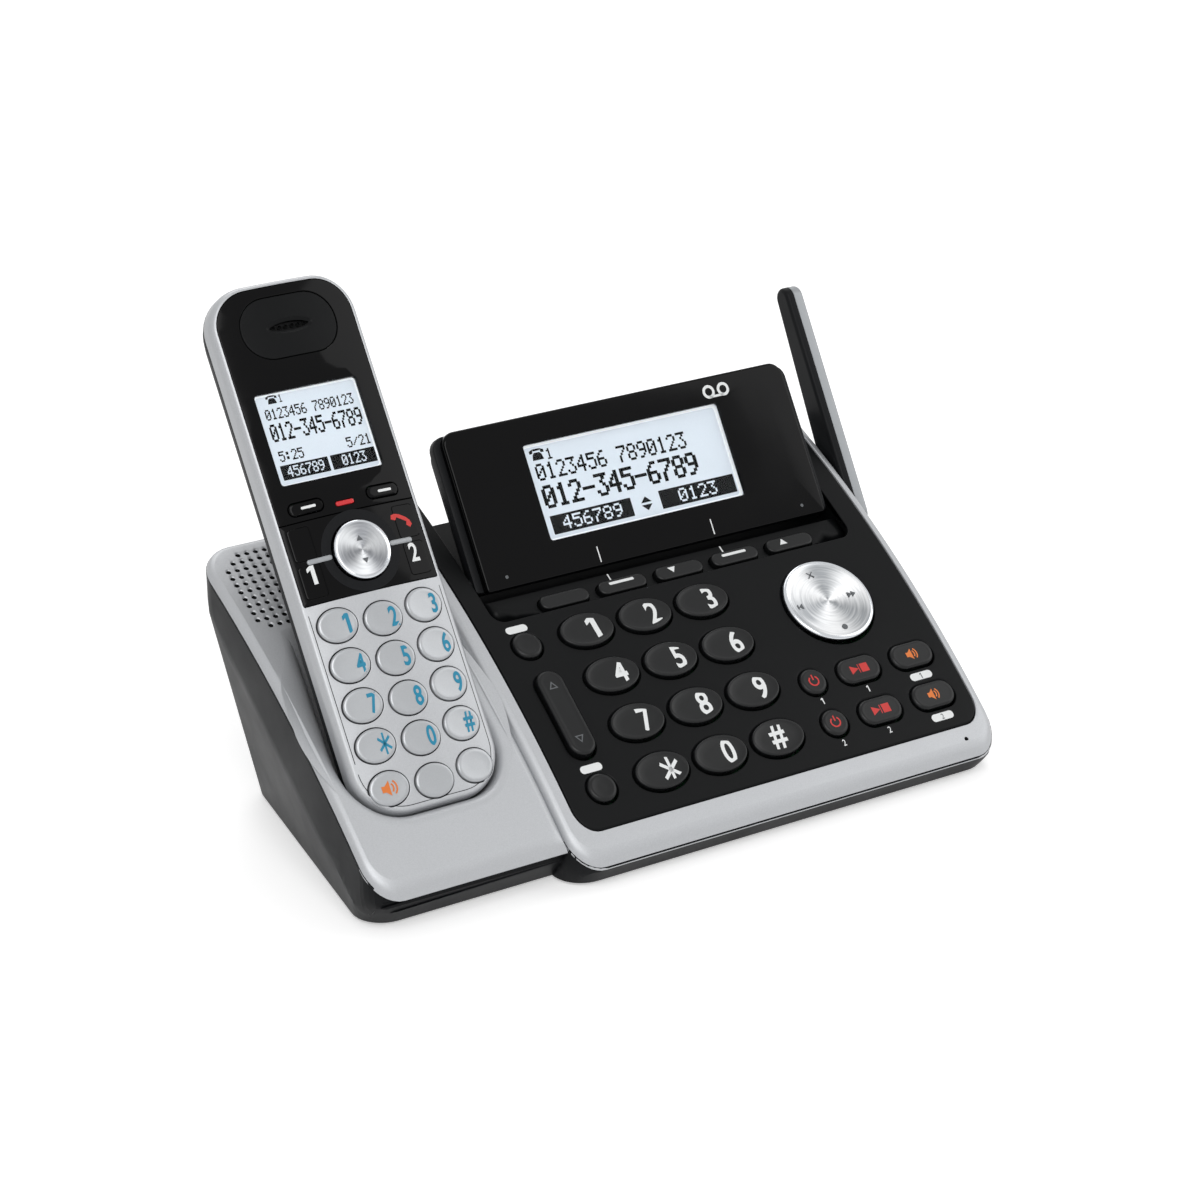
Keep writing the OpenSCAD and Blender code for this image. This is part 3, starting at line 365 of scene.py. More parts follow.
def softened(name, node, material, body, width, angle=28, reshape=None):
    # a copy of a plain solid with its edges rounded
    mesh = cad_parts[node].data.copy()
    mesh.name = name
    mesh.materials.clear()
    mesh.materials.append(material)
    work = bmesh.new()
    work.from_mesh(mesh)
    bmesh.ops.remove_doubles(work, verts=work.verts, dist=1e-6)
    bmesh.ops.dissolve_limit(work, angle_limit=radians(0.6), verts=work.verts, edges=work.edges)
    if reshape:
        reshape(work)
    edges = [e for e in work.edges if len(e.link_faces) == 2 and e.calc_face_angle(0) > radians(angle)]
    bmesh.ops.bevel(work, geom=edges, offset=width/1000, offset_type="OFFSET", segments=3,
                    profile=0.5, affect="EDGES", clamp_overlap=True, harden_normals=False)
    bmesh.ops.triangulate(work, faces=[f for f in work.faces if len(f.verts) > 4])
    for f in work.faces:
        f.material_index = 0
    finishPiece(work, mesh, name, body, [node])


# ---- materials ----

def linear(code):
    values = [int(code[i:i + 2], 16)/255 for i in (1, 3, 5)]
    return tuple(v/12.92 if v <= 0.04045 else ((v + 0.055)/1.055)**2.4 for v in values) + (1,)


def addNode(tree, kind, settings=None, links=None):
    node = tree.nodes.new(kind)
    for key, value in (settings or {}).items():
        if key[0].islower():
            setattr(node, key, value)
        else:
            node.inputs[key].default_value = value
    for key, socket in (links or {}).items():
        tree.links.new(socket, node.inputs[key])
    return node


def addMath(tree, operation, *values):  # each value a number or another node's output
    node = addNode(tree, "ShaderNodeMath", {"operation": operation})
    for socket, value in zip(node.inputs, values):
        if isinstance(value, (int, float)):
            socket.default_value = value
        else:
            tree.links.new(value, socket)
    return node.outputs[0]


def addBump(tree, shader, height, depth):  # depth in millimetres
    bump = addNode(tree, "ShaderNodeBump", {"Strength": 1, "Distance": depth/1000}, {"Height": height})
    tree.links.new(bump.outputs["Normal"], shader.inputs["Normal"])


def addTint(tree, shader, factor, colours):
    mix = addNode(tree, "ShaderNodeMix", {"data_type": "RGBA"}, {"Factor": factor})
    mix.inputs[6].default_value, mix.inputs[7].default_value = linear(colours[0]), linear(colours[1])
    tree.links.new(mix.outputs[2], shader.inputs["Base Color"])


def newMaterial(name, colour, grain=None, tints=None, glow=None, **sockets):
    # grain is the bumps' size and depth in millimetres, the roughness and how far it wanders;
    # tints are the two colours that wander with the bumps
    material = bpy.data.materials.new(name)
    material.use_nodes = True
    tree = material.node_tree
    shader = tree.nodes["Principled BSDF"]
    shader.inputs["Base Color"].default_value = linear(colour)
    material.diffuse_color = linear(colour)
    for key, value in sockets.items():
        shader.inputs[key.replace("_", " ")].default_value = value
    if glow:
        shader.inputs["Emission Color"].default_value = linear(glow)
    if grain:
        size, depth, roughness, spread = grain
        coords = addNode(tree, "ShaderNodeTexCoord").outputs["Object"]
        noise = addNode(tree, "ShaderNodeTexNoise", {"Scale": 1000/size, "Detail": 2}, {"Vector": coords})
        addBump(tree, shader, noise.outputs[0], depth)
        wander = addNode(tree, "ShaderNodeTexNoise", {"Scale": 60, "Detail": 3}, {"Vector": coords})
        rough = addNode(tree, "ShaderNodeMapRange", {"From Min": 0.3, "From Max": 0.7,
                        "To Min": roughness - spread, "To Max": roughness + spread},
                        {"Value": wander.outputs[0]})
        tree.links.new(rough.outputs["Result"], shader.inputs["Roughness"])
        if tints:
            addTint(tree, shader, noise.outputs[0], tints)
    return material


# Lower housings: ABS moulded against a spark-eroded tool, so the black looks soft and slightly grey
sparkedAbs = newMaterial("sparkedAbs", "#121315", (0.45, 0.012, 0.44, 0.04), ("#121315", "#151618"),
                         IOR=1.53, Specular_IOR_Level=0.09)
# Key panel: ABS from a finer tool, darker and smoother than the housing
fineAbs = newMaterial("fineAbs", "#0b0c0d", (0.3, 0.006, 0.4, 0.03), ("#0a0b0c", "#0e0f10"),
                      IOR=1.53, Specular_IOR_Level=0.09)
# Keys on the base: polished ABS, so their rims catch a thin highlight
polishedAbs = newMaterial("polishedAbs", "#0f1011", (1.6, 0.003, 0.34, 0.03), ("#0e0f10", "#111213"),
                          IOR=1.53, Specular_IOR_Level=0.24)
# Bezel and faceplate: acrylic painted black behind, deep and mirror-smooth with a faint waviness
blackAcrylic = newMaterial("blackAcrylic", "#040405", (9, 0.006, 0.09, 0.02),
                           IOR=1.49, Specular_IOR_Level=0.11)
# Top covers: ABS under satin silver lacquer, whose flakes are drawn coarse enough to show
silverLacquer = newMaterial("silverLacquer", "#b3b5b8", (0.35, 0.004, 0.4, 0.03), ("#a9abae", "#bdbfc2"),
                            IOR=1.5, Metallic=0.3, Coat_Weight=0.15, Coat_Roughness=0.3)
# Handset keys: silver lacquer under clear coat, smoother than the covers
brightLacquer = newMaterial("brightLacquer", "#a9acae", (0.35, 0.003, 0.3, 0.03), ("#a3a6a9", "#afb1b4"),
                            IOR=1.5, Metallic=0.35, Coat_Weight=0.4, Coat_Roughness=0.1)
# Bright rims round the dial and the navigation key: plated
platedChrome = newMaterial("platedChrome", "#c9ccd0", (2, 0.002, 0.13, 0.03), Metallic=1)


def turnedMetal(name, dark, light, bare):  # rings from the lathe stretch each highlight into a fan
    metal = newMaterial(name, bare, Metallic=1, Roughness=0.28, Anisotropic=0.88)
    tree = metal.node_tree
    shader = tree.nodes["Principled BSDF"]
    uv = addNode(tree, "ShaderNodeUVMap", {"uv_map": "turned"}).outputs["UV"]
    rings = addNode(tree, "ShaderNodeMapping", {"Scale": (6, 1400, 1)}, {"Vector": uv})  # a ring every 0.7 mm
    noise = addNode(tree, "ShaderNodeTexNoise", {"Scale": 1, "Detail": 2}, {"Vector": rings.outputs["Vector"]})
    addBump(tree, shader, noise.outputs[0], 0.003)
    # painted highlight and shade: pale and dark sectors in the colour, as the rings show them under a lamp
    turns = addNode(tree, "ShaderNodeSeparateXYZ", None, {0: uv}).outputs[0]
    fan = addMath(tree, "SINE", addMath(tree, "MULTIPLY_ADD", turns, 6*pi, 0.89))
    addTint(tree, shader, addMath(tree, "MULTIPLY_ADD", fan, 0.45, noise.outputs[0]), (dark, light))
    tangent = addNode(tree, "ShaderNodeTangent", {"direction_type": "UV_MAP", "uv_map": "turned"})
    tree.links.new(tangent.outputs["Tangent"], shader.inputs["Tangent"])
    return metal


# Dial and navigation key: turned aluminium with painted highlight and shade sectors, the smaller key a little
# darker
turnedAluminium = turnedMetal("turnedAluminium", "#94979a", "#f0f1f2", "#c4c6c9")
navAluminium = turnedMetal("navAluminium", "#84868a", "#c9cbcd", "#a9abae")
# Bars beside the navigation key and the antenna: grey lacquer
greyLacquer = newMaterial("greyLacquer", "#94979a", (0.4, 0.003, 0.35, 0.03), IOR=1.5, Metallic=0.3)
# Screens: a reflective cell, evenly lit from behind with a cool white
litCell = newMaterial("litCell", "#b4b9be", (0.5, 0.001, 0.5, 0.02), ("#b0b5ba", "#b8bdc2"), "#e2e8f0",
                      Emission_Strength=0.42, Specular_IOR_Level=0.1)
litRim = newMaterial("litRim", "#c9cccf", (0.5, 0.001, 0.5, 0.02), glow="#ffffff",
                     Emission_Strength=0.5, Specular_IOR_Level=0.1)
# Screen dots: opaque, nearly black
cellInk = newMaterial("cellInk", "#07080a", (0.5, 0.001, 0.6, 0.02), Specular_IOR_Level=0.05)
# Windows: clear acrylic under a coat against reflections, so the dots behind stay black
clearAcrylic = newMaterial("clearAcrylic", "#f6f9fb", (12, 0.002, 0.03, 0.01), IOR=1.2, Transmission_Weight=1)
# Printed legends: pad-printed ink, matt and very slightly uneven
inks = {name: newMaterial("padInk." + name, colour, (0.6, 0.001, 0.5, 0.04))
        for name, colour in (("white", "#e4e6e6"), ("blue", "#0c7f9f"), ("red", "#c22a26"),
                             ("orange", "#d9742a"), ("grey", "#55585b"))}
# Lamp: clear red polycarbonate with a diode behind it
redLens = newMaterial("redLens", "#b0171c", (1, 0.003, 0.2, 0.02), glow="#d2222a",
                      IOR=1.58, Emission_Strength=0.25)
# Feet: moulded rubber, dull and dusty
mouldedRubber = newMaterial("mouldedRubber", "#2a2a2b", (0.5, 0.02, 0.75, 0.05), ("#262627", "#303031"),
                            IOR=1.52, Specular_IOR_Level=0.25)
# Screws and pins: zinc-plated steel, which shines dully
platedSteel = newMaterial("platedSteel", "#a7a9ab", (0.4, 0.004, 0.35, 0.05), Metallic=1)
# Charging contacts: plated brass springs, warmer and brighter than the steel
platedBrass = newMaterial("platedBrass", "#c8ab62", (0.5, 0.002, 0.28, 0.05), Metallic=1)
# Circuit boards: glass cloth under green solder mask, whose weave shows faintly
solderMask = newMaterial("solderMask", "#1f5a34", (0.8, 0.01, 0.35, 0.05), ("#1a5230", "#26663d"),
                         IOR=1.5, Coat_Weight=0.3)
# Speaker: pressed black paper, quite dull. The same black is painted shade on the walls of holes and in the
# air slots and grip grooves, and it also marks the seam round the handset's keys
blackPaperAndShade = newMaterial("blackPaperAndShade", "#101011", (0.7, 0.03, 0.85, 0.05), Specular_IOR_Level=0.2)
# Battery cells: a printed shrink sleeve with a soft sheen
shrinkSleeve = newMaterial("shrinkSleeve", "#2c7a45", (3, 0.01, 0.3, 0.05), IOR=1.5)
print("materials made")

# ---- base: lower housing ----

# the two cuts give the width, depth and height of the part of a corner that is cut finer
housing = {"bandFoot": 19.38, "bandRise": 34, "sideLean": 15, "frontLean": 38, "lip": 3.2,
           "frontCut": (15, 21, 22), "rearCut": (30, 13, 74)}
bandRise, sideLean = radians(housing["bandRise"]), radians(housing["sideLean"])


def sideInset(y, z):  # how far the sides lean in under their upright band
    return max(0, (housing["bandFoot"] + y*tan(bandRise) - z)*cos(bandRise)*tan(sideLean))


def roundCorners(work):  # carries the round corners of the top down the leaning walls
    for x0, y0, toRight, toRear, leans in (
            (base["left"], -base["cradleReach"], -1, -1, 1), (base["seam"], -base["consoleReach"], -1, -1, 0),
            (base["right"], -base["consoleReach"], 1, -1, 1), (base["left"], base["rear"], -1, 1, 1),
            (base["right"], base["rear"], 1, 1, 1)):
        r, slope, cut = base["cornerFront"], tan(radians(housing["frontLean"])), housing["frontCut"]
        if toRear > 0:
            r, slope, cut = base["cornerRear"], 0, housing["rearCut"]
        wide, far, tall = cut
        lip = topZ(y0) - housing["lip"]
        inner = row(x0 - toRight*wide, y0 - toRear*far, 0)
        planes = ([(row(x0 - toRight*wide*(k/9), 0, 0), (1, 0, 0)) for k in range(10)]
                  + [(row(0, y0 - toRear*far*(k/9), 0), (0, 1, 0)) for k in range(10)]
                  + [(row(0, 0, 1 + tall*(k + 0.5)/7), (0, 0, 1)) for k in range(7)])
        for k, (spot, normal) in enumerate(planes):  # the last of each ten goes right through
            near = [f for f in work.faces if k in (9, 19) or any(
                (v.co.x - inner.x)*toRight > -1e-6 and (v.co.y - inner.y)*toRear > -1e-6 for v in f.verts)]
            geom = near + list({e for f in near for e in f.edges}) + list({v for f in near for v in f.verts})
            bmesh.ops.bisect_plane(work, geom=geom, dist=1e-6, plane_co=spot, plane_no=normal)
        for v in work.verts:
            x, y, z = (1000*c for c in v.co)
            x, y = x + base["middle"][0], y + base["middle"][1]
            cy = y0 - toRear*(r + max(0, (lip - z)*slope))
            inset = leans*sideInset(cy, z)
            tilt = sin(bandRise)*tan(sideLean) if inset > 0 else 0
            cx = x0 - toRight*(inset + r*sqrt(1 + tilt*tilt))
            a, b = toRight*(x - cx), toRear*(y - cy)
            reach = sqrt(a*a + b*b)
            if a > 0 and b > toRear*tilt*a and reach > r:
                v.co.x += toRight*a*(r/reach - 1)/1000
                v.co.y += toRear*b*(r/reach - 1)/1000


softened("lowerHousing", "base_bottom", sparkedAbs, "base", 0.9, angle=30,
         reshape=roundCorners)

# ---- cradle cover with its well and sound holes ----

# flat top down to the side of a silver cover: a fine crease, then a soft band
coverEdge = [(2.7, 0), (2.5, -0.06), (2.35, -0.1), (1.7, -0.3), (1.1, -0.62), (0.6, -1.1), (0.2, -1.75),
             (0, -2.3), (0, -2.6)]
cradle = {"x": -78.3, "y": 9.5, "z": 62, "lean": 54.9, "floor": -40.4, "back": -24.6, "half": 25,
          "corner": 15.4, "taper": 6, "taperFrom": -10}
grille = {"x": -78.8, "s": 69, "pitch": 2.94, "hole": 1.55, "columns": 18, "rows": 12,
          "edge": [(0.3, 0), (0.16, -0.1), (0, -0.34), (0, -2)]}
handsetMap = tilted(cradle["x"], cradle["y"], cradle["z"], cradle["lean"])


def wellHalf(v, w):  # half width of the handset's well at a point of its length and depth
    past = max(0, cradle["taperFrom"] - w)
    half = cradle["half"] - cradle["taper"]*past/(cradle["taperFrom"] - cradle["back"])
    low = v - cradle["floor"]
    if low < cradle["corner"]:
        half = min(half, cradle["half"] - cradle["corner"]
                   + sqrt(max(0, cradle["corner"]**2 - (cradle["corner"] - low)**2)))
    return half


def wellFloor(u):
    side = abs(u) - (cradle["half"] - cradle["corner"])
    if side <= 0:
        return cradle["floor"]
    return cradle["floor"] + cradle["corner"] - sqrt(max(0, cradle["corner"]**2 - side**2))


def inWell(y, h):  # a point of the arched top in the handset's frame
    a, y, z = radians(cradle["lean"]), y - cradle["y"], topZ(y, h) - cradle["z"]
    return y*cos(a) + z*sin(a), -y*sin(a) + z*cos(a)


def crossing(low, high, isBefore):  # where isBefore turns false
    for _ in range(40):
        mid = (low + high)/2
        low, high = (mid, high) if isBefore(mid) else (low, mid)
    return high


def wellRow(t, h):  # y, v and w of the well's rim in a top at height h, a share t of the way back
    front = crossing(-30, 30, lambda y: inWell(y, h)[0] < cradle["floor"])
    rear = crossing(front, 60, lambda y: inWell(y, h)[1] > cradle["back"])
    y = front + (rear - front)*t**1.6
    v, w = inWell(y, h)
    return y, max(v, cradle["floor"]), max(w, cradle["back"])


def ease(t):
    t = min(1, max(0, t))
    return t*t*(3 - 2*t)


def scoop(t):  # how far the rim is hollowed out: a lip in front, wide flats along the handset
    return 2.6 + 5.4*ease((t - 0.2)/0.4)*ease((0.98 - t)/0.2)


shares = [k/40 for k in range(41)]
rimRows = [wellRow(t, 0) for t in shares]
deep = [wellRow(t, -1.6 - 0.45*scoop(t)) for t in shares]
scoopWidths = [scoop(t) for t in shares]
wellRim = [(cradle["x"] + wellHalf(v, w), y) for y, v, w in rimRows]
wellLoop = [(2*cradle["x"] - x, y) for x, y in wellRim[::-1]] + wellRim
cradleLoop = resample([(base["seam"], -base["cradleReach"]), (base["seam"], base["rear"])]
                      + corner(base["left"] + base["cornerRear"], base["rear"] - base["cornerRear"],
                               base["cornerRear"], 90, 8)
                      + corner(base["left"] + base["cornerFront"],
                               -base["cradleReach"] + base["cornerFront"], base["cornerFront"], 180, 8), 4)
scoopLoop = shrink(wellLoop, [-d for d in scoopWidths[::-1] + scoopWidths])
nearWell = shrink(scoopLoop, -1.2)
soundHoles = []
for j in range(grille["rows"]):
    for i in range(grille["columns"]):
        s = grille["s"] + (j - (grille["rows"] - 1)/2)*grille["pitch"]
        spot = (grille["x"] + (i - (grille["columns"] - 1)/2)*grille["pitch"], yAtS(s))
        fromCorner = min(i, grille["columns"] - 1 - i) + min(j, grille["rows"] - 1 - j)
        if fromCorner > 1 and not isInside(spot, nearWell):
            soundHoles.append((ovalLoop(grille["hole"], grille["hole"]*cos(radians(slopeAt(s))), *spot, 12),
                               grille["edge"]))
shape = newShape()
# painted shade: the sound holes' walls are black, kind 1
addPlate(shape, onPlan, cradleLoop, coverEdge,
         [(scoopLoop, [(0, 0)])] + soundHoles, step=5, under=False, wall=1)
lowRim = [(wellHalf(v, w), max(v, wellFloor(wellHalf(v, w))), w) for y, v, w in deep]
lowRim = [handsetMap(-u, v, w) for u, v, w in lowRim[::-1]] + [handsetMap(*p) for p in lowRim]
bend = []
for t in (0, 0.12, 0.26, 0.42, 0.58, 0.74, 0.88, 1):
    bend.append([(onPlan(*p, 0)*(1 - t)**2 + onPlan(*q, 0)*2*t*(1 - t) + low*t*t)[:]
                 for p, q, low in zip(scoopLoop, wellLoop, lowRim)])
addLoft(shape, lambda x, y, z: Vector((x, y, z)), bend, flip=True)
across = [i/12 - 1 for i in range(25)]
floorRows = [[(wellHalf(v, w)*t, wellFloor(wellHalf(v, w)*t), w) for t in across] for y, v, w in deep]
addLoft(shape, handsetMap, floorRows, closed=False)
for side in (1, -1):
    wall = [[(side*wellHalf(v, w), wellFloor(wellHalf(v, w)), w),
             (side*wellHalf(v, w), max(v, wellFloor(wellHalf(v, w))), w)] for y, v, w in deep]
    addLoft(shape, handsetMap, wall, closed=False, flip=side < 0)
backHalf = wellHalf(*deep[-1][1:])
addLoft(shape, handsetMap, [[(backHalf*t, wellFloor(backHalf*t), cradle["back"]) for t in across],
                            [(backHalf*t, deep[-1][1], cradle["back"]) for t in across]], closed=False)
makePiece(shape, "cradleCover", [silverLacquer, blackPaperAndShade], "base", "silver_shell", "cradle_cover")
print("cradle made")

# ---- console frame and key panel ----

console = {"left": -41, "right": 106.6, "front": -38.36, "innerCorner": 6.5, "gap": 0.2, "panelEdge": 0.35,
           "microphone": (97.4, -43.1)}
bay = {"x0": -34.1, "x1": 98.7, "stripFront": 36.3, "front": 46, "stripDepth": 2.5, "depth": 9.4,
       "corner": 4}
keys = {"x": 13.5, "column": 21, "row": 17.3, "digit": (18.4, 12.2), "round": 9.4, "leftX": -28.5,
        "leftS": 25.95, "rocker": (8.8, 30.2), "soft": (17.2, 5.2), "softS": 40, "answer": 9,
        "tape": (15.5, 8.8), "clear": 0.8}  # clear is how much wider a key's hole is
tapeX = {"answer": 55.7, "mailbox": 73, "line": 93.4}
tapeS = {1: -11.3, 2: -26.3}
dial = {"x": 75.8, "s": 14.4, "r": 15.2}
digitPlaces = [(keys["x"] + (i % 3 - 1)*keys["column"], (1.5 - i//3)*keys["row"]) for i in range(12)]
softPlaces = [(keys["x"] + (i - 1)*keys["column"], keys["softS"]) for i in range(5)]
roundPlaces = {"hold_key": keys["leftS"], "flash_key": -keys["leftS"]}
panelFrontY = yAtS(console["front"])
outerRim = ([(base["seam"], base["rear"])]
            + frontCorners(base["seam"], base["right"], -base["consoleReach"], base["cornerFront"], n=10)
            + [(base["right"], base["rear"])])
r = console["innerCorner"]
innerRim = ([(console["right"], base["rear"])]
            + frontCorners(console["left"], console["right"], panelFrontY, r)[::-1]
            + [(console["left"], base["rear"])])
frameLoop = resample(outerRim + innerRim, 4)
byPanel = [console["left"] - 0.1 < x < console["right"] + 0.1 and y > panelFrontY - 0.1 for x, y in frameLoop]


def frameEdge(k):  # wide round on the outside, narrow one along the panel
    wide, low = coverEdge[k]
    narrow = (0.5, 0.35, 0.25, 0.15, 0.08, 0.03, 0, 0, 0)[k]
    return [narrow if close else wide for close in byPanel], low


shape = newShape()
micX, micS = console["microphone"]
micHole = (ovalLoop(1.4, 1.1, micX, yAtS(micS), 16), roundEdge(0.1, -2, n=1))
# painted shade: the microphone hole's wall is black
addPlate(shape, onPlan, frameLoop, [frameEdge(k) for k in range(len(coverEdge))], [micHole],
         under=False, wall=1)
makePiece(shape, "consoleFrame", [silverLacquer, blackPaperAndShade], "base", "silver_shell", "console_frame")


def onPanel(x, s, loop):  # an outline in a key's own frame, as plan points
    c = cos(radians(slopeAt(s)))
    return [(x + p[0], yAtS(s) + p[1]*c) for p in loop]


def tapeLoop(kind, clear=0):
    if kind == "answer":
        return ovalLoop(keys["answer"] + clear, keys["answer"] + clear)
    return pillLoop(keys["tape"][0] + clear, keys["tape"][1] + clear)


holeEdge = [(0.55, 0), (0.35, -0.06), (0.12, -0.3), (0, -0.65), (0, -2)]  # a soft dish round each key
clear = keys["clear"]
w, d = keys["digit"]
holes = [(onPanel(x, s, ovalLoop(w + clear, d + clear)), holeEdge) for x, s in digitPlaces]
w = keys["round"] + clear
holes += [(onPanel(keys["leftX"], s, ovalLoop(w, w)), holeEdge) for s in roundPlaces.values()]
w, d = keys["rocker"]
holes += [(onPanel(keys["leftX"], 0, resample(pillLoop(w + clear, d + clear), 5)), holeEdge)]
w = 2*dial["r"] + clear
holes += [(onPanel(dial["x"], dial["s"], ovalLoop(w, w, n=72)), holeEdge)]
holes += [(onPanel(x, s, tapeLoop(kind, clear)), holeEdge)
          for s in tapeS.values() for kind, x in tapeX.items()]
g = console["gap"]
stripY = yAtS(bay["stripFront"])
panelLoop = ([(console["left"] + g, base["rear"])]
             + frontCorners(console["left"], console["right"], panelFrontY, r, g)
             + [(console["right"] - g, base["rear"]), (bay["x1"], base["rear"])]
             + frontCorners(bay["x0"], bay["x1"], stripY, bay["corner"], n=6)[::-1]
             + [(bay["x0"], base["rear"])])
shape = newShape()
# painted shade: the walls of the keys' holes are black, which draws a dark ring round each key
addPlate(shape, onPlan, resample(panelLoop, 4), roundEdge(console["panelEdge"], -2), holes,
         under=False, wall=3)
# recess of the soft keys
tray = -bay["stripDepth"]
trayLoop = resample(frontCorners(bay["x0"], bay["x1"], bay["stripFront"], bay["corner"], n=6)
                    + [(bay["x1"], bay["front"]), (bay["x0"], bay["front"])], 4)
w, d = keys["soft"]
softHoles = [(pillLoop(w + clear, d + clear, x, s), roundEdge(0.25, tray - 2, tray, 2)) for x, s in softPlaces]
# painted shade: the soft keys' holes have black walls as well
addPlate(shape, onSlope, trayLoop, [(0, tray), (0, tray - 0.1)], softHoles, under=False, wall=3)
for x in (11.6, 53.6):  # short lines up to the display
    addFlat(shape, onSlope, barLoop(x - 0.25, 42.8, x + 0.25, 45.95), tray + 0.03, 1)
trayWall = [p for p in trayLoop if p[1] < bay["front"] - 0.01]
start = min(range(len(trayWall)), key=lambda i: (trayWall[i][0] > 0, -trayWall[i][1]))
wallPath = [(bay["x0"], bay["front"])] + trayWall[start:] + trayWall[:start] + [(bay["x1"], bay["front"])]
addLoft(shape, onSlope, stacked(wallPath, [(0, -0.3), (0, tray)]), closed=False, flip=True)


# bay behind it, which the display folds into
def bayRow(x, h):
    reach = sAtY(base["rear"], h) - bay["front"]
    return [(x, bay["front"] + reach*i/12, h) for i in range(13)]


low = -bay["depth"]
addLoft(shape, onSlope, stacked([(bay["x0"], bay["front"]), (bay["x1"], bay["front"])], [(0, tray), (0, low)]),
        closed=False, flip=True)
for x, flip in ((bay["x0"], True), (bay["x1"], False)):
    addLoft(shape, onSlope, [bayRow(x, h) for h in (-0.3, -4, low)], closed=False, flip=flip)
addLoft(shape, onSlope, [bayRow(bay["x0"], low), bayRow(bay["x1"], low)], closed=False, flip=True)
wallLow, wallTop = (topAtS(sAtY(base["rear"], h), h)[1] for h in (low - 2, low))
addFlat(shape, lambda x, z, y: row(x, y, z), barLoop(bay["x0"] - 2, wallLow, bay["x1"] + 2, wallTop),
        base["rear"] - 0.02, 0)
# printed marks on the panel
for s in (32.6, -19):
    addFlat(shape, keyPlace(-28.8, s), pillLoop(7.4, 2.6), 0.03, 1)
for k, s in tapeS.items():
    addFlat(shape, keyPlace(93.1, s - 7.6), pillLoop(8.2, 2.6), 0.03, 1)
    addText(shape, keyPlace(93.1, s - 7.6), str(k), 0, 0, 0.06, 1.9, 2)
    for kind in ("answer", "mailbox"):
        addText(shape, keyPlace(tapeX[kind], s - 7), str(k), 0, 0, 0.04, 2.2, 1)
makePiece(shape, "keyPanel", [fineAbs, inks["white"], inks["grey"], blackPaperAndShade], "base", "panel_black",
          "key_panel")
print("console made")

# ---- keys on the base ----

# profiles go from the foot up to the middle, legends sit just over them
digitKey = {"edge": [(0, -3), (0, 0.4), (0.1, 0.78), (0.3, 1), (0.55, 1.08), (0.8, 1.05), (1.15, 0.94),
                     (1.7, 0.86), (2.8, 0.8), (3.4, 0.79)], "legend": 0.84, "digitHeight": 8.2, "aside": 2.8}
for name, (x, s) in zip("1 2 3 4 5 6 7 8 9 star 0 pound".split(), digitPlaces):
    mark = {"star": "*", "pound": "#"}.get(name, name)
    shape = newShape()
    place = keyPlace(x, s)
    addCap(shape, place, ovalLoop(*keys["digit"]), digitKey["edge"])
    addText(shape, place, mark, digitKey["aside"] if mark != "#" else 0, -0.6 if mark == "*" else 0,
            digitKey["legend"], digitKey["digitHeight"], 1, squeeze=0.78, bold=0.022)
    makePiece(shape, "digitKey." + name, [polishedAbs, inks["white"]], "key_" + name, "key_black",
              "key_" + name)

roundKey = [(0, -3), (0, 0), (0.12, 0.4), (0.45, 0.8), (0.95, 1), (1.5, 0.94), (2.2, 0.84), (3.2, 0.8)]
for name, s in roundPlaces.items():
    shape = newShape()
    addCap(shape, keyPlace(keys["leftX"], s), ovalLoop(keys["round"], keys["round"]), roundKey)
    makePiece(shape, name.split("_")[0] + "Key", [polishedAbs], name, "key_black", name)

rocker = {"edge": [(0, -3), (0, 0.9), (0.15, 1.3), (0.5, 1.65), (0.9, 1.75), (1.4, 1.7), (2, 1.64)],
          "legend": 1.66, "arrow": 9.6}
shape = newShape()
place = keyPlace(keys["leftX"], 0)
addCap(shape, place, resample(pillLoop(*keys["rocker"], n=12), 3), rocker["edge"])
for up in (1, -1):
    tri = counterClockwise([(-1.5, -1.1*up), (1.5, -1.1*up), (0, 1.5*up)])
    addRim(shape, place, moved(tri, 0, rocker["arrow"]*up), 0.35, rocker["legend"], 1)
makePiece(shape, "volumeRocker", [polishedAbs, inks["grey"]], "volume_rocker", "key_black", "volume_rocker")

softKey = {"edge": [(0, -5.4), (0, -1.3), (0.12, -0.95), (0.4, -0.72), (0.8, -0.66), (1.2, -0.67)],
           "legend": -0.62}
softNames = ("cancel_key", "left_soft_key", "down_key", "right_soft_key", "up_key")
softMarks = {"left_soft_key": pillLoop(9, 1, 0, 0.9), "right_soft_key": pillLoop(9, 1, 0, 0.9),
             "down_key": [(-3.8, 1.5), (-2.4, -0.7), (-1.0, 1.5)],
             "up_key": [(-3.8, -0.4), (-1.0, -0.4), (-2.4, 1.8)]}
for name, (x, s) in zip(softNames, softPlaces):
    shape = newShape()
    place = keyPlace(x, s)
    addCap(shape, place, pillLoop(*keys["soft"]), softKey["edge"])
    if name in softMarks:
        addFlat(shape, place, softMarks[name], softKey["legend"], 1)
    makePiece(shape, "softKey." + name.split("_key")[0], [polishedAbs, inks["white"]], name, "key_black", name)

tapeKey = {"edge": [(0, -3), (0, 0), (0.15, 0.4), (0.5, 0.75), (0.9, 0.86), (1.3, 0.84), (1.8, 0.82)],
           "legend": 0.85}


def addSpeakerSign(shape, place, x, y, k, h, kind):
    body = [(-1.6, -0.7), (-0.8, -0.7), (0.3, -1.7), (0.3, 1.7), (-0.8, 0.7), (-1.6, 0.7)]
    addFlat(shape, place, moved(body, x, y, k), h, kind)
    for r0 in (1.0, 1.75):
        addRing(shape, place, x - 0.1*k, y, k*r0, k*(r0 + 0.38), -48, 48, h, kind, 8)


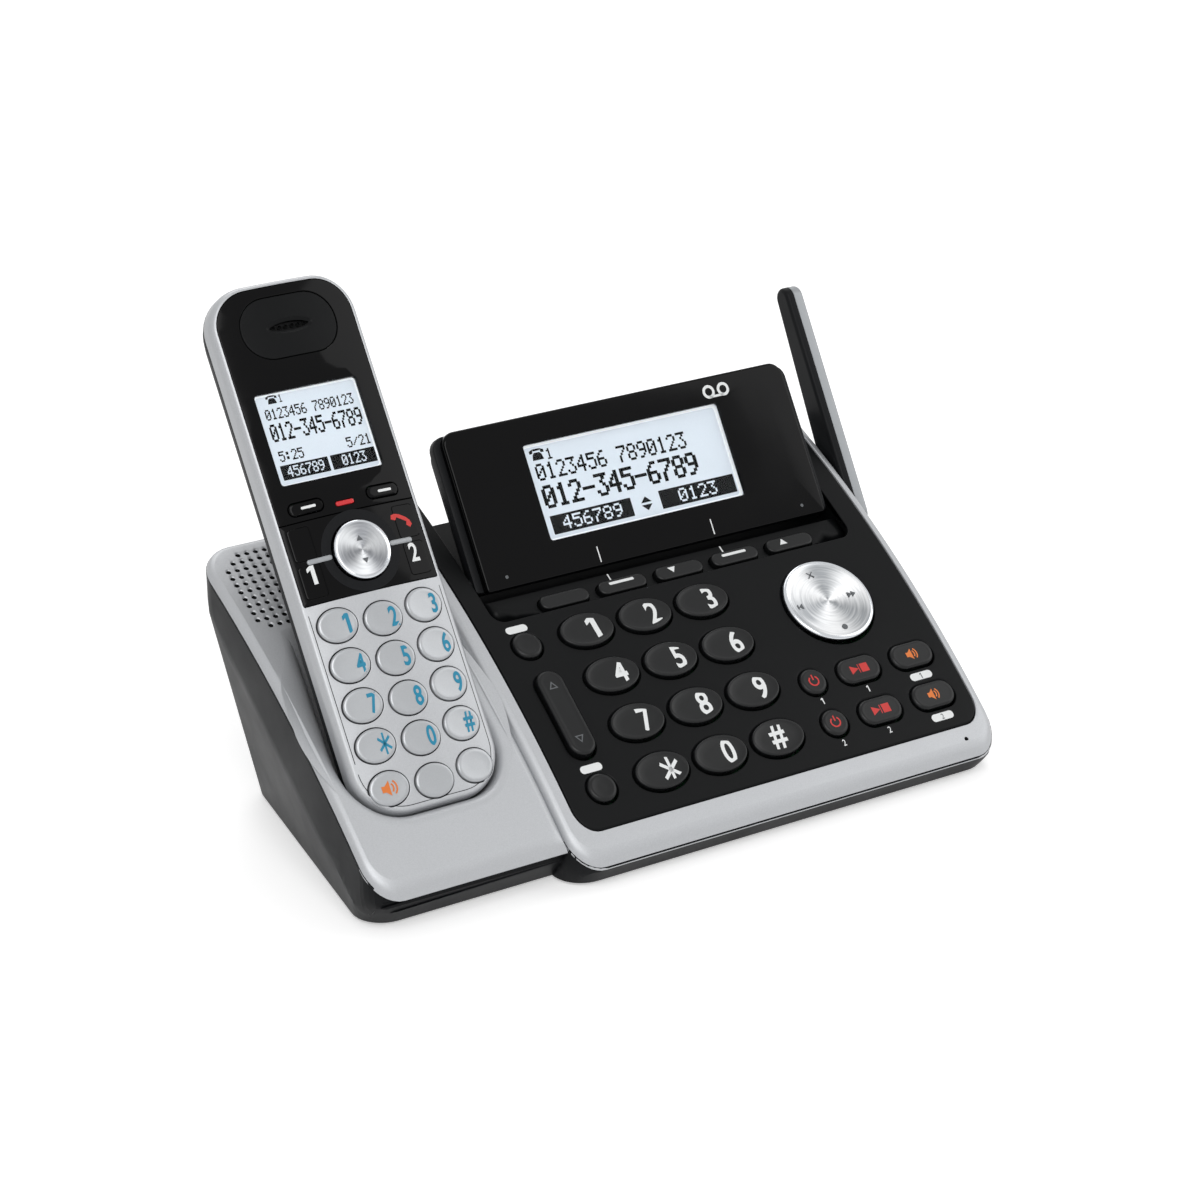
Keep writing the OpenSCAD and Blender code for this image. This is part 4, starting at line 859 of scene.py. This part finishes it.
for k, s in tapeS.items():
    for kind, x in tapeX.items():
        shape = newShape()
        place = keyPlace(x, s)
        top = tapeKey["legend"]
        addCap(shape, place, tapeLoop(kind), tapeKey["edge"])
        if kind == "answer":
            addRing(shape, place, 0, 0, 1.35, 1.85, 125, 415, top, 1)
            addFlat(shape, place, barLoop(-0.25, 0.3, 0.25, 2.2), top, 1)
        elif kind == "mailbox":
            addFlat(shape, place, [(-3.2, -1.5), (-0.3, 0), (-3.2, 1.5)], top, 1)
            addFlat(shape, place, barLoop(-0.3, -1.5, 0, 1.5), top, 1)
            addFlat(shape, place, barLoop(0.5, -1.5, 3.3, 1.5), top, 1)
        else:
            addSpeakerSign(shape, place, -0.3, 0, 1.15, top, 1)
        node = "%s_key_%d" % (kind, k)
        makePiece(shape, "%sKey.%d" % (kind, k), [polishedAbs, inks["orange" if kind == "line" else "red"]],
                  node, "gloss_black", node)


def addTurned(shape, place, x, y, edge, kind=0, n=96):  # a turned disc with polar coordinates for its rings
    shape.setdefault("uvs", [])
    points = []
    for radius, h in edge:
        for i in range(n + 1):
            a = 2*pi*i/n
            points.append(place(x + radius*cos(a), y + radius*sin(a), h))
            shape["uvs"].append((i/n, radius/1000))
    faces = [[k*(n + 1) + i, k*(n + 1) + i + 1, (k + 1)*(n + 1) + i + 1, (k + 1)*(n + 1) + i]
             for k in range(len(edge) - 1) for i in range(n)]
    addFaces(shape, points, faces, kind)


r = dial["r"]
shape = newShape()
place = keyPlace(dial["x"], dial["s"])
addTurned(shape, place, 0, 0, [(r, -2), (r, 0.6), (r - 0.15, 1.1), (r - 0.5, 1.4), (r - 1.1, 1.5)], 1)
addTurned(shape, place, 0, 0, [(r - 1.1, 1.5), (r - 1.6, 1.32), (r - 2.6, 1.22), (9, 1.0), (6, 0.84),
                               (3, 0.75), (0.4, 0.72), (0.02, 0.72)])
makePiece(shape, "fourWayDial", [turnedAluminium, platedChrome], "four_way_dial", "spun_silver",
          "four_way_dial")
shape = newShape()
for side in (-1, 1):  # marks printed on the dial: rewind, forward, a cross and a dot
    for k in (0, 1.5):
        tri = [(side*(8.6 + k) - 1.2, -1.1), (side*(10.1 + k) - 1.2, 0), (side*(8.6 + k) - 1.2, 1.1)]
        addFlat(shape, place, counterClockwise(tri), 1.18, 0)
for turn in (0.707, -0.707):
    addFlat(shape, place, [(p[0]*0.707 - p[1]*turn - 1.2, 10.2 + p[0]*turn + p[1]*0.707)
                           for p in barLoop(-1.5, -0.18, 1.5, 0.18)], 1.2, 0)
addFlat(shape, place, ovalLoop(2, 2, 0, -10.8, 20), 1.24, 0)
makePiece(shape, "dialMarks", [inks["grey"]], "four_way_dial", "spun_silver")
print("keys made")

# ---- display ----

display = {"x": 32.3, "s": 47.7, "tilt": 57, "width": 126.2, "height": 51.4, "corners": (1.2, 1.2, 4.5, 4.5),
           "window": (-36.7, 11.4, 35.8, 42.3)}
displayMap = tilted(display["x"], *topAtS(display["s"]), display["tilt"])
half = display["width"]/2
printH = 0.02
shape = newShape()
addPlate(shape, displayMap, boxLoop(-half, 0, half, display["height"], display["corners"]),
         roundEdge(0.9, -2.5), [(boxLoop(*display["window"], 1, 4), roundEdge(0.25, -1.3, n=2))], step=9)
for x in (-55.3, 54.8):  # little round marks low on the bezel
    addFlat(shape, displayMap, ovalLoop(1.1, 1.1, x, 3.65, 16), printH, 2)
for x in (-22.1, 20.2):  # pointers from the screen to its two soft keys
    addFlat(shape, displayMap, barLoop(x - 0.2, 1.3, x + 0.2, 6.3), printH, 1)
for x in (33.8, 39.3):  # two reels
    addRing(shape, displayMap, x, 46.3, 1.3, 2.25, 0, 360, printH, 1, 28)
addFlat(shape, displayMap, barLoop(33.8, 44.2, 39.3, 44.95), printH, 1)
makePiece(shape, "displayBezel", [blackAcrylic, inks["white"], inks["grey"]], "display", "gloss_black",
          "display_panel")

shape = newShape()
addPlate(shape, displayMap, boxLoop(*grown(display["window"], 1.4), 1, 4), [(0, -1.35), (0, -1.9)], step=20)
makePiece(shape, "displayLens", [clearAcrylic], "display", "lens_clear", "display_window")

# seven rows of five dots for each sign
dotRows = {"0": "0E11131519110E", "1": "040C040404040E", "2": "0E11010204081F", "3": "1F02040201110E",
           "4": "02060A121F0202", "5": "1F101E0101110E", "6": "0608101E11110E", "7": "1F010204080808",
           "8": "0E11110E11110E", "9": "0E11110F01020C", "-": "0000001F000000", ":": "000C0C000C0C00",
           "/": "00010204081000", " ": "00000000000000"}


def addDots(shape, place, text, x, y, w, d, nudges, h, kind):  # nudged copies make bold strokes
    for nudge in nudges:
        for n, letter in enumerate(text):
            for j in range(7):
                bits = int(dotRows[letter][2*j:2*j + 2], 16)
                for i in range(5):
                    if bits >> (4 - i) & 1:
                        left, low = x + nudge + (6*n + i)*w, y + (6 - j)*d
                        addFlat(shape, place, barLoop(left, low, left + w, low + d), h, kind)


def addPhoneSign(shape, place, x, y, k, h, kind):
    ear = [(1.1, 0.7), (1.9, 0.6), (1.9, 1.3), (0.9, 1.7)]
    for part in ([(-1.5, -1), (1.5, -1), (1.2, 0.3), (0.7, 0.8), (-0.7, 0.8), (-1.2, 0.3)],
                 counterClockwise([(-a, b) for a, b in ear]), ear, barLoop(-0.9, 1.2, 0.9, 1.7)):
        addFlat(shape, place, moved(part, x, y, k), h, kind)


def addScreen(shape, place, window, screen):
    addPlate(shape, place, boxLoop(*grown(window, screen["overlap"]), 1, 4),
             [(0, screen["top"]), (0, screen["bottom"])], step=20)
    h = screen["ink"]
    rimOverlap, corners, width = screen["rim"]  # a paler rim where the light gets in
    addRim(shape, place, boxLoop(*grown(window, rimOverlap), corners, 4), width, h, 2)
    addPhoneSign(shape, place, *screen["phone"], h, 1)
    for text in screen["texts"]:
        addDots(shape, place, *text, h, 1)
    low, high, corners = screen["labelBox"]
    letter, y, w, d, nudges = screen["labelText"]
    for x0, x1, label in screen["labels"]:
        addFlat(shape, place, boxLoop(x0, low, x1, high, corners, 2), h, 1)
        addDots(shape, place, label, (x0 + x1)/2 - len(label)*letter, y, w, d, nudges, h + 0.02, 0)


displayScreen = {"overlap": 2, "top": -2.5, "bottom": -6.4, "ink": -2.46, "rim": (0.6, 2.4, 1.3),
                 "phone": (-31.5, 38.6, 1.35),
                 "texts": [("1", -28.7, 36.8, 0.55, 0.5, (0,)),
                           ("0123456 7890123", -33.7, 30.6, 0.62, 0.78, (0, 0.14)),
                           ("012-345-6789", -33.7, 21.6, 0.8, 1.05, (-0.2, 0.3))],
                 "labelBox": (13.2, 19.2, 0.2), "labelText": (1.8, 14.1, 0.62, 0.62, (0,)),
                 "labels": [(-33.7, -4.2, "456789"), (6.3, 34.6, "0123")], "arrow": (1.1, 16.2)}
shape = newShape()
addScreen(shape, displayMap, display["window"], displayScreen)
for up in (1, -1):
    tri = moved([(-2, 0.35*up), (2, 0.35*up), (0, 2.3*up)], *displayScreen["arrow"])
    addFlat(shape, displayMap, counterClockwise(tri), displayScreen["ink"], 1)
makePiece(shape, "displayScreen", [litCell, cellInk, litRim], "display", "lcd_grey", "display_lcd")

# back shell, from the bezel to the rear: how far it stands out at the sides and the top, and its depth
ridges = [(0, 0, -2.5), (1.6, 0.2, -2.6), (2.3, 0.5, -2.9), (2.5, 0.6, -3.4), (2.5, 0.6, -5.6),
          (2.3, 0.5, -6.1), (1.7, 0, -6.45), (1.2, -0.8, -6.6), (1.2, -1.2, -7.2), (1.2, -1.4, -9.0),
          (0.9, -1.8, -9.8), (0.2, -2.4, -10.3), (-0.8, -3.2, -10.5)]
shape = newShape()
pocket = boxLoop(4 - half, 5, half - 4, display["height"] - 5, (1.2, 1.2, 3, 3))
loops = stacked(pocket, [(0, -6.5), (0, -2.5)])
for grow, top, h in ridges:
    loop = boxLoop(-half - grow, 1, half + grow, display["height"] - 1 + top, display["corners"])
    loops += stacked(loop, [(0, h)])
addLoft(shape, displayMap, loops, startCap=True, endCap=True, flip=True)
# painted shade: the air slots are flat black patches standing for their shadowed insides
for i in range(7):  # air slots low on the back, as dark grooves
    addFlat(shape, displayMap, boxLoop(-20 + i*6, 14, -17.5 + i*6, 24, 1.2, 4)[::-1], -10.53, 1)
makePiece(shape, "displayBack", [sparkedAbs, blackPaperAndShade], "display", "charcoal_shell", "display_back")
print("display made")

# ---- antenna ----

antenna = {"x": 110.4, "y": 52, "z": 56.4, "lean": 60, "length": 74, "root": 12, "tip": 7.4,
           "black": 2.8, "silver": 3.8}


def antennaMap(u, v, w):
    c, s = cos(radians(antenna["lean"])), sin(radians(antenna["lean"]))
    return row(antenna["x"] + w, antenna["y"] + v*c + u*s, antenna["z"] + v*s - u*c)


tipR, rootR, length = antenna["tip"]/2, antenna["root"]/2, antenna["length"]
lean = asin((rootR - tipR)/length)
bladeLoop = [(tipR*cos(lean + (pi - 2*lean)*i/16), length + tipR*sin(lean + (pi - 2*lean)*i/16))
             for i in range(17)]
bladeLoop += [(rootR*cos(pi - lean + (pi + 2*lean)*i/20), rootR*sin(pi - lean + (pi + 2*lean)*i/20))
              for i in range(21)]
black, full = antenna["black"], antenna["black"] + antenna["silver"]
for name, material, slot, node, edge in (
        ("antennaFront", sparkedAbs, "charcoal_shell", "antenna_front",
         [(1.5, 0), (0.9, 0.12), (0.4, 0.4), (0.1, 0.85), (0, 1.3), (0, black - 0.12), (0.12, black)]),
        ("antennaBack", greyLacquer, "silver_shell", "antenna_back",
         [(0.12, black), (0, black + 0.12), (0, full - 1.4), (0.15, full - 0.8), (0.5, full - 0.35),
          (1.0, full - 0.1), (1.6, full)])):
    shape = newShape()
    addLoft(shape, antennaMap, stacked(bladeLoop, edge), startCap=True, endCap=True)
    makePiece(shape, name, [material], "antenna", slot, node)
print("antenna made")

# ---- handset ----

handset = {"foot": -40, "top": 123.4, "half": 24, "cornerLow": 15, "cornerTop": 13, "crown": 117,
           "crownHalf": 23.9, "line": 25.8, "window": (-17.5, 62, 15.9, 90), "split": 50.5,
           "plateHalf": 22, "plateFoot": 25.9, "plateTop": 121.4, "softV": 54.3, "light": (-0.4, 53.2),
           "earV": 108.8, "door": (-16.7, -21.7, 16.7, 31.7)}


def crownDrop(u):
    return handset["crown"] - sqrt(handset["crown"]**2 - u*u)


def onHandset(u, v, h):  # on the crowned face; the crown fades out down the sides
    return handsetMap(u, v, h - crownDrop(min(abs(u), handset["crownHalf"]))*max(0, 1 + h/6))


def handsetKey(u0, v0):
    a = asin(u0/handset["crown"])
    return lambda u, v, w: handsetMap(u0 + u*cos(a) + w*sin(a), v0 + v, w*cos(a) - u*sin(a) - crownDrop(u0))


low, top = handset["cornerLow"], handset["cornerTop"]
handsetLoop = boxLoop(-handset["half"], handset["foot"], handset["half"], handset["top"],
                      (low, low, top, top), 12)
faceEdge = [(1.72, 0), (1.45, -0.05), (1.2, -0.18), (0.95, -0.42), (0.7, -0.8), (0.45, -1.4), (0.22, -2.2),
            (0.07, -3.2), (0, -4.2), (0, -8)]
hsDigits = [(14.2*c, v - (1.18 if c == 0 else 0)) for v in (18.35, 6.12, -6.12, -18.35) for c in (-1, 0, 1)]
hsFunctions = [(-14.2, -31.3), (0, -32.5), (14.2, -31.3)]
hsSoft = (-12.6, 12.6)
half, foot, top = handset["plateHalf"], handset["plateFoot"], handset["plateTop"]
plateLoop = resample(boxLoop(-half - 0.1, foot - 0.1, half + 0.1, top + 0.1, (0.6, 0.6, 11.1, 11.1), 10), 5)
shape = newShape()
hsHole = roundEdge(0.2, -3, n=2)
# painted shade: the walls of the key holes and of the faceplate's opening are black
addPlate(shape, onHandset, resample(handsetLoop, 5), faceEdge,
         [(ovalLoop(12.8, 10.8, u, v), hsHole) for u, v in hsDigits + hsFunctions]
         + [(shrink(plateLoop, -0.08), roundEdge(0.08, -3, n=1))], step=5, under=False, wall=1)
addPlate(shape, handsetMap, handsetLoop, [(0.3, -7.9), (0.3, -7.95)], kind=1, step=12, under=False)
# seam round the keys
seam = resample(handsetLoop, 3)
outer, inner = shrink(seam, 2.3), shrink(seam, 2.52)
for i in range(1, len(seam)):
    if max(outer[i - 1][1], outer[i][1]) < handset["line"]:
        addFlat(shape, onHandset, [outer[i - 1], outer[i], inner[i], inner[i - 1]], 0.015, 1)
makePiece(shape, "handsetFront", [silverLacquer, blackPaperAndShade], "handset", "silver_shell", "handset_front")

# gloss faceplate in two parts with a fine groove between
split = handset["split"]
lower = resample(boxLoop(-half, foot, half, split - 0.1, (0.6, 0.6, 0.3, 0.3), 3), 5)
upper = resample(boxLoop(-half, split + 0.1, half, top, (0.3, 0.3, 11, 11), 10), 5)
nav = {"y": 38.3, "r": 9, "ring": 12.4}
padLoop = boxLoop(-20.4, 0.8, -13.8, 10.6, 0.8, 3)
padLoops = [counterClockwise([(-p[0]*sx, p[1]*sy + nav["y"]) for p in padLoop])
            for sx in (-1, 1) for sy in (-1, 1)]
earLoop = resample(boxLoop(-15.4, 99.4, 15.4, 118.2, 9, 10), 4)
plateEdge = roundEdge(0.25, -2.5, n=2)
cut = roundEdge(0.12, -2.5, n=1)
shape = newShape()
addPlate(shape, onHandset, lower, plateEdge,
         [(ovalLoop(18.6, 18.6, 0, nav["y"], 64), cut)] + [(shrink(loop, -0.1), cut) for loop in padLoops],
         step=5, under=False)
addPlate(shape, onHandset, upper, plateEdge,
         [(boxLoop(*handset["window"], 1, 4), roundEdge(0.2, -1.6, n=2)), (shrink(earLoop, -0.2), cut),
          (pillLoop(6.2, 1.6, *handset["light"], 5), cut)]
         + [(pillLoop(11.1, 4.2, u, handset["softV"]), cut) for u in hsSoft], step=5, under=False)
for side in (-1, 1):  # silver bars beside the key, between the pads
    addCap(shape, onHandset, pillLoop(7.8, 1.5, side*13.4, nav["y"], 6),
           [(0, -0.3), (0, 0.15), (0.12, 0.32), (0.35, 0.4)], kind=1)
addRing(shape, onHandset, 0, nav["y"], 9.45, nav["ring"], 0, 360, 0.04, 2, 64)
makePiece(shape, "handsetFaceplate", [blackAcrylic, greyLacquer, sparkedAbs], "handset", "gloss_black",
          "handset_faceplate")

shape = newShape()
dimple = ovalLoop(15.4, 5, 0, handset["earV"], 40)
addPlate(shape, onHandset, earLoop, roundEdge(0.3, -2.6, -0.15, 3),
         [(dimple, [(0, -0.15), (-0.25, -0.22), (-0.7, -0.6), (-1.1, -0.8)])], step=5, under=False)
# painted shade: the walls of the earpiece holes are black
addPlate(shape, onHandset, shrink(dimple, 1.1), [(0, -0.8)],
         [(ovalLoop(1.15, 1.15, (i - 2.5)*2.05, handset["earV"], 14), [(0, -0.8), (0, -2)]) for i in range(6)],
         step=1.5, under=False, wall=1)
addFlat(shape, onHandset, ovalLoop(13.2, 2.8, 0, handset["earV"], 24), -2, 1)
makePiece(shape, "earpiecePad", [fineAbs, blackPaperAndShade], "handset", "gloss_black", "earpiece_pad")

shape = newShape()
addPlate(shape, handsetMap, boxLoop(*grown(handset["window"], 1.1), 1, 4), [(0, -2.35), (0, -2.6)], step=20)
makePiece(shape, "handsetLens", [clearAcrylic], "handset", "lens_clear", "handset_window")
shape = newShape()
addScreen(shape, handsetMap, handset["window"], {
    "overlap": 1.5, "top": -2.75, "bottom": -7.8, "ink": -2.72, "rim": (0.5, 1.8, 1),
    "phone": (-11.8, 88, 0.95),
    "texts": [("1", -9.7, 87.1, 0.28, 0.34, (0,)), ("0123456 7890123", -15.2, 82.3, 0.323, 0.47, (0, 0.1)),
              ("012-345-6789", -15.3, 75.6, 0.42, 0.77, (0, 0.2)), ("5:25", -15, 69.4, 0.34, 0.46, (0, 0.12)),
              ("5/21", 7.2, 69.4, 0.34, 0.46, (0, 0.12))],
    "labelBox": (63.8, 68.3, 0.15), "labelText": (0.98, 64.5, 0.34, 0.46, (0, 0.1)),
    "labels": [(-15.7, -0.2, "456789"), (0.7, 15.3, "0123")]})
makePiece(shape, "handsetScreen", [litCell, cellInk, litRim], "handset", "lcd_grey", "handset_lcd")

shape = newShape()
addCap(shape, onHandset, pillLoop(5.8, 1.3, *handset["light"], 5),
       [(0, -2.5), (0, 0), (0.1, 0.12), (0.3, 0.16)], under=False)
makePiece(shape, "chargeLight", [redLens], "handset", "lamp_red", "charge_light")

# back shell, with an opening for the battery door: depth, half width, foot, top and two corners
levels = [(-8, 24, -40, 123.4, 15, 13), (-8.6, 24, -40, 123.3, 15, 13), (-10, 23.9, -40, 122.4, 15, 13),
          (-12, 23.2, -40, 121, 15, 13), (-14, 22.3, -39.8, 119.2, 15, 13), (-16, 21.4, -38.6, 115.3, 15, 13),
          (-18, 20.5, -36.8, 111.2, 14, 13), (-20, 19.6, -34.4, 107.2, 13, 12),
          (-21.5, 18.9, -31.6, 98.2, 12, 12), (-22.7, 18.3, -28.2, 81.4, 11, 12),
          (-23.6, 17.8, -25.4, 69, 10, 11), (-24, 17.3, -23.2, 62, 9, 10)]
shape = newShape()
loops = []
for w, half, foot, top, low, high in levels:
    loops += stacked(boxLoop(-half, foot, half, top, (low, low, high, high), 10), [(0, w)])
addLoft(shape, handsetMap, loops, flip=True)
doorHole = boxLoop(*grown(handset["door"], 0.2), 2, 4)
addPlate(shape, handsetMap, boxLoop(-half, foot, half, top, (low, low, high, high), 10), [(0, -24)],
         [(doorHole, [(0, -24), (0, -22.6)])], step=9, under=False, flip=True)
makePiece(shape, "handsetBack", [sparkedAbs], "handset", "charcoal_shell", "handset_back")
shape = newShape()
addLoft(shape, handsetMap, stacked(boxLoop(*handset["door"], 2, 4), [(0, -22.5), (0, -23.7), (0.3, -24)]),
        startCap=True, endCap=True, flip=True)
# painted shade: the grip's grooves are flat black strips
for i in range(6):  # finger grip
    addFlat(shape, handsetMap, pillLoop(13, 0.8, 0, 19 + i*1.9, 4)[::-1], -24.03, 1)
makePiece(shape, "batteryDoor", [sparkedAbs, blackPaperAndShade], "handset", "charcoal_shell", "battery_door")
print("handset shells made")

# handset keys: silver caps with a raised rim
capEdge = [(0, -3.4), (0, 0.15), (0.12, 0.42), (0.4, 0.6), (0.8, 0.68), (1.3, 0.64), (2.2, 0.6), (3.4, 0.58)]
shape = newShape()
for mark, (u, v) in zip("1 2 3 4 5 6 7 8 9 * 0 #".split(), hsDigits):
    place = handsetKey(u, v)
    addCap(shape, place, ovalLoop(12.2, 10.2), capEdge)
    addText(shape, place, mark, {"#": 2.4, "*": 2.7}.get(mark, 3.1), -0.1, 0.66, 6, 1,
            squeeze=0.62 if mark == "1" else 0.66, bold=0.026)
makePiece(shape, "handsetDialKeys", [brightLacquer, inks["blue"]], "handset_dial_keys", "key_silver",
          "handset_dial_keys")
shape = newShape()
for u, v in hsFunctions:
    addCap(shape, handsetKey(u, v), ovalLoop(12.2, 10.2), capEdge)
addSpeakerSign(shape, handsetKey(*hsFunctions[0]), -0.2, 0, 1.35, 0.67, 1)
makePiece(shape, "handsetFunctionKeys", [brightLacquer, inks["orange"]], "handset_function_keys",
          "key_silver", "handset_function_keys")
shape = newShape()
for u in hsSoft:
    addCap(shape, onHandset, pillLoop(10.5, 3.6, u, handset["softV"]),
           [(0, -2.5), (0, 0.1), (0.2, 0.4), (0.6, 0.5), (1.1, 0.46)])
    addFlat(shape, onHandset, pillLoop(4.6, 0.8, u + 0.6, handset["softV"], 4), 0.5, 1)
makePiece(shape, "handsetSoftKeys", [blackAcrylic, inks["white"]], "handset_soft_keys", "gloss_black",
          "handset_soft_keys")
shape = newShape()
for loop in padLoops:
    addCap(shape, onHandset, loop, [(0, -2.5), (0, -0.06), (0.06, 0), (0.5, 0)])
for u, v, mark in ((-16.6, -3.8, "1"), (16.6, -3.9, "2")):
    addText(shape, onHandset, mark, u, nav["y"] + v, 0.04, 5.7, 1, squeeze=0.78, bold=0.022)
receiver = [(-3.6, -0.3), (-3.3, -1.5), (-1.9, -1.3), (-1.7, -0.2), (1.7, -0.2), (1.9, -1.3), (3.3, -1.5),
            (3.6, -0.3), (2.6, 0.6), (1.2, 1), (-1.2, 1), (-2.6, 0.6)]
receiver = [(16 + x*0.87 + y*0.5, nav["y"] + 6.6 - x*0.5 + y*0.87) for x, y in receiver]  # at a slant
for part in ((0, 1, 2, 3, 11), (3, 4, 8, 9, 10, 11), (4, 5, 6, 7, 8)):
    addFlat(shape, onHandset, [receiver[i] for i in part], 0.04, 2)
makePiece(shape, "handsetLineKeys", [blackAcrylic, inks["white"], inks["red"]], "handset_line_keys",
          "gloss_black", "handset_line_keys")
shape = newShape()
navMap = handsetKey(0, nav["y"])
r = nav["r"]
addTurned(shape, navMap, 0, 0, [(r, -2.5), (r, 0.9), (r - 0.15, 1.2), (r - 0.5, 1.4), (r - 0.9, 1.3)], 1)
addTurned(shape, navMap, 0, 0, [(r - 0.9, 1.3), (r - 1.4, 1.12), (5, 1.0), (2.5, 0.92), (0.02, 0.9)])
makePiece(shape, "navigationKey", [navAluminium, platedChrome], "handset_nav_key", "spun_silver",
          "handset_nav_key")
shape = newShape()
for up in (1, -1):
    addFlat(shape, navMap, counterClockwise([(-1, 2.7*up), (1, 2.7*up), (0, 4.3*up)]), 1.06, 0)
makePiece(shape, "navigationMarks", [inks["grey"]], "handset_nav_key", "spun_silver")
print("handset keys made")

# ---- what is left of the solids: inner parts, feet, screws, jacks ----

for node, material in (("main_board", solderMask), ("handset_board", solderMask),
                       ("base_speaker", blackPaperAndShade), ("charge_contacts", platedBrass),
                       ("battery_pack", shrinkSleeve), ("display_pivots", platedSteel),
                       ("antenna_pivot", platedSteel)):
    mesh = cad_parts[node].data
    mesh.materials.clear()
    mesh.materials.append(material)
softened("rubberFeet", "rubber_feet", mouldedRubber, "base", 0.3)
softened("caseScrews", "case_screws", platedSteel, "base", 0.15)
softened("jackBlock", "jack_block", fineAbs, "base", 0.25)

# ---- floor, light and camera ----

def whereSeen(tree):  # 1 for rays from the camera, straight, mirrored or through a window
    rays = addNode(tree, "ShaderNodeLightPath").outputs
    seen = addMath(tree, "MAXIMUM", rays["Is Camera Ray"], rays["Is Glossy Ray"])
    return addMath(tree, "MAXIMUM", seen, rays["Is Transmission Ray"])


light = {"floorLift": 0.42, "room": 0.38, "aim": (0, 0, 0.05)}
# Floor: pale and matt, lifted to white where the camera sees it
floorMaterial = newMaterial("paleFloor", "#f4f4f4", glow="#ffffff", Roughness=0.7, Specular_IOR_Level=0.2)
tree = floorMaterial.node_tree
tree.links.new(addMath(tree, "MULTIPLY", whereSeen(tree), light["floorLift"]),
               tree.nodes["Principled BSDF"].inputs["Emission Strength"])
floorMesh = bpy.data.meshes.new("floor")
floorMesh.from_pydata([(x, y, 0) for x, y in barLoop(-3, -3, 3, 3)], [], [(0, 1, 2, 3)])
floorMesh.materials.append(floorMaterial)
floor = bpy.data.objects.new("floor", floorMesh)
scene.collection.objects.link(floor)

world = bpy.data.worlds.new("studio")
scene.world = world
world.use_nodes = True
tree = world.node_tree
tree.nodes.clear()
room = addNode(tree, "ShaderNodeBackground", {"Color": (1, 1, 1, 1), "Strength": light["room"]})
white = addNode(tree, "ShaderNodeBackground", {"Color": (1, 1, 1, 1), "Strength": 1})
mixed = addNode(tree, "ShaderNodeMixShader", None,
                {0: whereSeen(tree), 1: room.outputs[0], 2: white.outputs[0]})
addNode(tree, "ShaderNodeOutputWorld", None, {"Surface": mixed.outputs[0]})

for name, spot, energy, size in (("key", (-0.5, -0.9, 1.1), 10, 0.9), ("fill", (1.1, -0.5, 0.8), 4, 0.9),
                                 ("back", (0.3, 1.0, 1.2), 6, 1.0)):
    area = bpy.data.lights.new(name, "AREA")
    area.energy, area.size = energy, size
    lamp = bpy.data.objects.new(name, area)
    lamp.location = spot
    lamp.rotation_euler = (Vector(light["aim"]) - Vector(spot)).to_track_quat("-Z", "Y").to_euler()
    scene.collection.objects.link(lamp)

camera = bpy.data.cameras.new("camera")
camera.lens, camera.sensor_width, camera.sensor_fit = 98.62, 36, "HORIZONTAL"
camera.clip_start = 0.05
eye = bpy.data.objects.new("camera", camera)
right = Vector((0.848684, -0.528881, -0.004506))
back = Vector((-0.483949, -0.779965, 0.396797))
up = back.cross(right).normalized()
turn = Matrix((right, up, back)).transposed().to_4x4()
eye.matrix_world = Matrix.Translation(row(-486.8, -758.8, 460.4)) @ turn
scene.collection.objects.link(eye)
scene.camera = eye
scene.view_settings.view_transform = "Standard"
